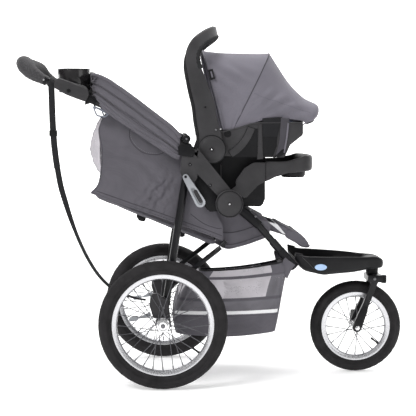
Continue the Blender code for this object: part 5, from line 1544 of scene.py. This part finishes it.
def build_seat_sides():
    """Fabric sides of the seat under the hubs, joining the side panels to the leg rest."""
    for side, tag in SIDES:
        low = [(0.01, 0.45), (0.0465, 0.432), (0.0835, 0.438), (0.1215, 0.449), (0.185, 0.472)]
        high = [(0.01, 0.57), (0.06, 0.565), (0.1, 0.548), (0.14, 0.53), (0.185, 0.514)]
        rows = coons_rows(flat(low, 0), flat(high, 0), flat([(0.01, 0.45), (0.01, 0.51),
            (0.01, 0.57)], 0), flat([(0.185, 0.472), (0.185, 0.493), (0.185, 0.514)], 0), 70, 40)
        points = []
        for row in rows:
            points.append([Vector((p.x, side * (0.16 + 0.0022 * math.sin(math.pi * u)
                + 0.0014 * wander(p.x, 0, p.z, 30.0, 4.0)), p.z)) for u, v, p in row])
        piece = from_bmesh("seat_side_" + tag, grid_mesh(points), FABRIC, "front_frame", 80)
        thicken(piece, 0.0014)
        lower = [points[0][k] for k in range(0, 71, 2)]
        piping("seat_side_piping_" + tag, lower, "front_frame", 0.0024, FABRIC)
        curve = spline([(0.015, side * 0.1625, 0.486), (0.06, side * 0.164, 0.482),
            (0.105, side * 0.164, 0.492), (0.15, side * 0.163, 0.508)], 30)
        piping("seat_side_seam_" + tag, curve, "front_frame", 0.0013)
        hem = spline([(0.02, side * 0.163, 0.456), (0.05, side * 0.164, 0.444),
            (0.09, side * 0.164, 0.45), (0.17, side * 0.163, 0.477)], 30)
        piping("seat_side_hem_" + tag, hem, "front_frame", 0.0013)
        tube("brace_lug_" + tag, [(0.0262, side * 0.191, 0.4415), (0.042, side * 0.191, 0.458)],
            0.0075, PAINT, "front_frame", sides=16)
        tube("brace_tip_" + tag, [(0.0105, side * 0.186, 0.425), (0.0262, side * 0.186, 0.4373)],
            0.0072, PAINT, "braces", sides=16)
        apron = [(0.17, 0.508), (0.1775, 0.517), (0.2135, 0.504), (0.245, 0.493), (0.245, 0.464),
            (0.2365, 0.469), (0.19, 0.484), (0.17, 0.472)]
        plate("seat_apron_" + tag, apron, side * 0.113, side * 0.12, FABRIC, "front_frame", 0.0022)
        band = [(0.18, 0.515), (0.2135, 0.505), (0.24, 0.472), (0.229, 0.476)]
        plate("seat_apron_band_" + tag, band, side * 0.1195, side * 0.1212, REFLECTIVE,
            "front_frame", 0.0006)
        cushion = [(0.23, 0.49), (0.2775, 0.48), (0.3045, 0.459), (0.3155, 0.433), (0.2955, 0.432),
            (0.2415, 0.461)]
        plate("leg_rest_side_" + tag, cushion, side * 0.108, side * 0.118, FABRIC, "front_frame",
            0.004, 5)


FOOTWELL_ROWS = (  # x, half width, bottom, top, floor
    (0.27, 0.136, 0.388, 0.41, 0.396), (0.284, 0.139, 0.368, 0.408, 0.38),
    (0.306, 0.14, 0.35, 0.402, 0.356), (0.335, 0.138, 0.342, 0.4005, 0.348),
    (0.365, 0.133, 0.335, 0.399, 0.345), (0.39, 0.126, 0.3365, 0.398, 0.346),
    (0.43, 0.112, 0.3385, 0.3965, 0.35), (0.466, 0.095, 0.34, 0.3945, 0.356),
    (0.5, 0.076, 0.344, 0.392, 0.37), (0.52, 0.064, 0.347, 0.391, 0.385),
    (0.545, 0.052, 0.349, 0.39, 0.3885), (0.562, 0.043, 0.35, 0.385, 0.3835),
    (0.572, 0.033, 0.353, 0.378, 0.3765), (0.5765, 0.02, 0.36, 0.37, 0.369))


def build_footwell():
    """Moulded foot tray, wide at the tubes and narrowing to its nose over the fork."""
    centres = spline([(x, half, base) for x, half, base, top, floor in FOOTWELL_ROWS], 70)
    tops = spline([(x, top, floor) for x, half, base, top, floor in FOOTWELL_ROWS], 70)
    rows = []
    for (x, half, base), (x2, top, floor) in zip(centres, tops):
        tall = top - base
        wall = min(0.0085, half * 0.3)
        section = [(half * 0.6, base), (half * 0.86, base + tall * 0.06),
            (half * 0.965, base + tall * 0.3), (half, base + tall * 0.72),
            (half + 0.0015, top - 0.0035), (half - 0.001, top - 0.0008), (half - wall * 0.5, top),
            (half - wall, top - 0.0012), (half - wall - 0.0012, top - 0.004), (half - wall - 0.003,
            floor + 0.004), (half - wall - 0.008, floor + 0.0006), ((half - wall) * 0.5, floor)]
        right = [(-y, min(z, top)) for y, z in section]
        row = [Vector((x, y, max(z, base))) for y, z in right]
        row += [Vector((x, -y, max(z, base))) for y, z in reversed(right)]
        rows.append(row)
    skin = from_bmesh("footwell_skin", grid_mesh(rows, closed_u=True, cap=True), BLACK,
        "front_frame", 50)
    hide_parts("footwell")


def build_front_tubes():
    """Oval main tubes from the hubs down into the foot tray."""
    for side, tag in SIDES:
        path = [(0.06, 0.1725, 0.582), (0.1, 0.1722, 0.549), (0.13, 0.1715, 0.524),
            (0.147, 0.169, 0.508), (0.162, 0.1655, 0.49), (0.2, 0.1545, 0.4465),
            (0.24, 0.144, 0.3995), (0.269, 0.1365, 0.366)]
        route = spline([(x, side * y, z) for x, y, z in path], 60)
        piece = tube("front_tube_skin_" + tag, route, 0.011, PAINT, "front_frame", sides=28,
            flat=0.68)
        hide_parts("front_tube_" + tag)
        sleeve = [Vector((p.x, p.y, p.z)) for p in route[44:]]
        tube("front_tube_sleeve_" + tag, sleeve, 0.0142, BLACK, "front_frame", sides=24, flat=0.66)


def build_front_details():
    """Badge, grip ribs and lip of the footwell, and the fork's sleeves and fixings."""
    for side, tag in SIDES:
        oval = [(0.3535 + 0.0195 * math.cos(t), 0.366 + 0.01 * math.sin(t)) for t in angles(40)]
        plate("footwell_badge_" + tag, oval, side * 0.131, side * 0.1372, PALE_BLUE, "front_frame",
            0.0006)
        lip = spline([(0.27, side * 0.134, 0.412), (0.28, side * 0.13, 0.41), (0.295, side * 0.129,
            0.406)], 16)
        tube("footwell_lip_" + tag, lip, 0.003, CHARCOAL, "front_frame", sides=8)
        groove = spline([(0.292, side * 0.14, 0.4), (0.315, side * 0.1396, 0.378),
            (0.332, side * 0.1382, 0.36)], 20)
        tube("footwell_line_" + tag, groove, 0.0012, CHARCOAL, "front_frame", sides=6)
    for index in range(7):
        x = 0.315 + 0.02 * index
        plate("footwell_rib_%d" % index, [(x, 0.346), (x + 0.004, 0.346), (x + 0.0032, 0.352),
            (x + 0.0008, 0.352)], -0.085, 0.085, BLACK, "front_frame", 0.0008)
    for side, tag in SIDES:
        sleeve = [(0.08, side * 0.1722, 0.565), (0.115, side * 0.1712, 0.537), (0.15, side * 0.168,
            0.506)]
        tube("front_sleeve_" + tag, spline(sleeve, 20), 0.0145, BLACK, "front_frame", sides=32,
            flat=0.66)
        down = (Vector((FRONT_AXLE[0], 0, FRONT_AXLE[1])) - Vector((STEER_X - 0.004, 0, 0.3045)))
        cross = Vector((-down.z, 0, down.x)).normalized()
        blade = []
        for t, half in ((0.52, 0.008), (0.6, 0.0125), (0.8, 0.0135), (0.93, 0.0125)):
            blade.append((t, half))
        top = Vector((STEER_X - 0.004, 0, 0.3045))
        outline = [top + down * t + cross * half for t, half in blade]
        outline += [top + down * t - cross * half for t, half in reversed(blade)]
        plate("fork_sleeve_" + tag, [(p.x, p.z) for p in outline], side * 0.048, side * 0.0515,
            BLACK, "fork_body", 0.0016)
        nut = [(0.0, 0.05), (0.0078, 0.05), (0.0078, 0.055), (0.0052, 0.056), (0.0045, 0.06),
            (0.0, 0.0605)]
        if side < 0:
            lathe("fork_axle_nut", [(r, side * y) for r, y in nut],
                (FRONT_AXLE[0], 0, FRONT_AXLE[1]), CHROME, "fork_body", segments=6,
                smooth_angle=20, closed=False)
        screw_head("fork_crown_bolt_" + tag, 0.544, 0.316, side * 0.049, side, "fork_body", 0.005,
            SCREW)


build_stage()
build_wheels()
build_side_panels()
build_canopy()
build_rear_net()
build_seat()
build_basket()
build_tether()
build_hood()
build_carry_handle()
build_carrier_details()
build_grip()
build_console()
build_child_tray()
build_hinge_details()
build_seat_sides()
build_footwell()
build_front_tubes()
build_front_details()
for plain_node, plain_look, edge in (("hinge_bracket_right", CHARCOAL, 0.003),
        ("hinge_bracket_left", CHARCOAL, 0.003), ("tray_arm_right", CHARCOAL, 0.003),
        ("tray_arm_left", CHARCOAL, 0.003), ("lock_lever_right", GREY, 0.0012), ("lock_lever_left",
        GREY, 0.0012), ("fold_trigger_right", BLUE_GREY, 0.0025), ("fold_trigger_left", BLUE_GREY,
        0.0025), ("leg_latch_right", BLACK, 0.002), ("leg_latch_left", BLACK, 0.002),
        ("brake_housing_right", CHARCOAL, 0.003), ("brake_housing_left", CHARCOAL, 0.003),
        ("parent_tray", CHARCOAL, 0.0015), ("fork", PAINT, 0.002), ("steerer_housing", BLACK,
        0.0015), ("hub_disc_right", CHARCOAL, 0.002), ("hub_disc_left", CHARCOAL, 0.002)):
    refine(plain_node, plain_look, edge)
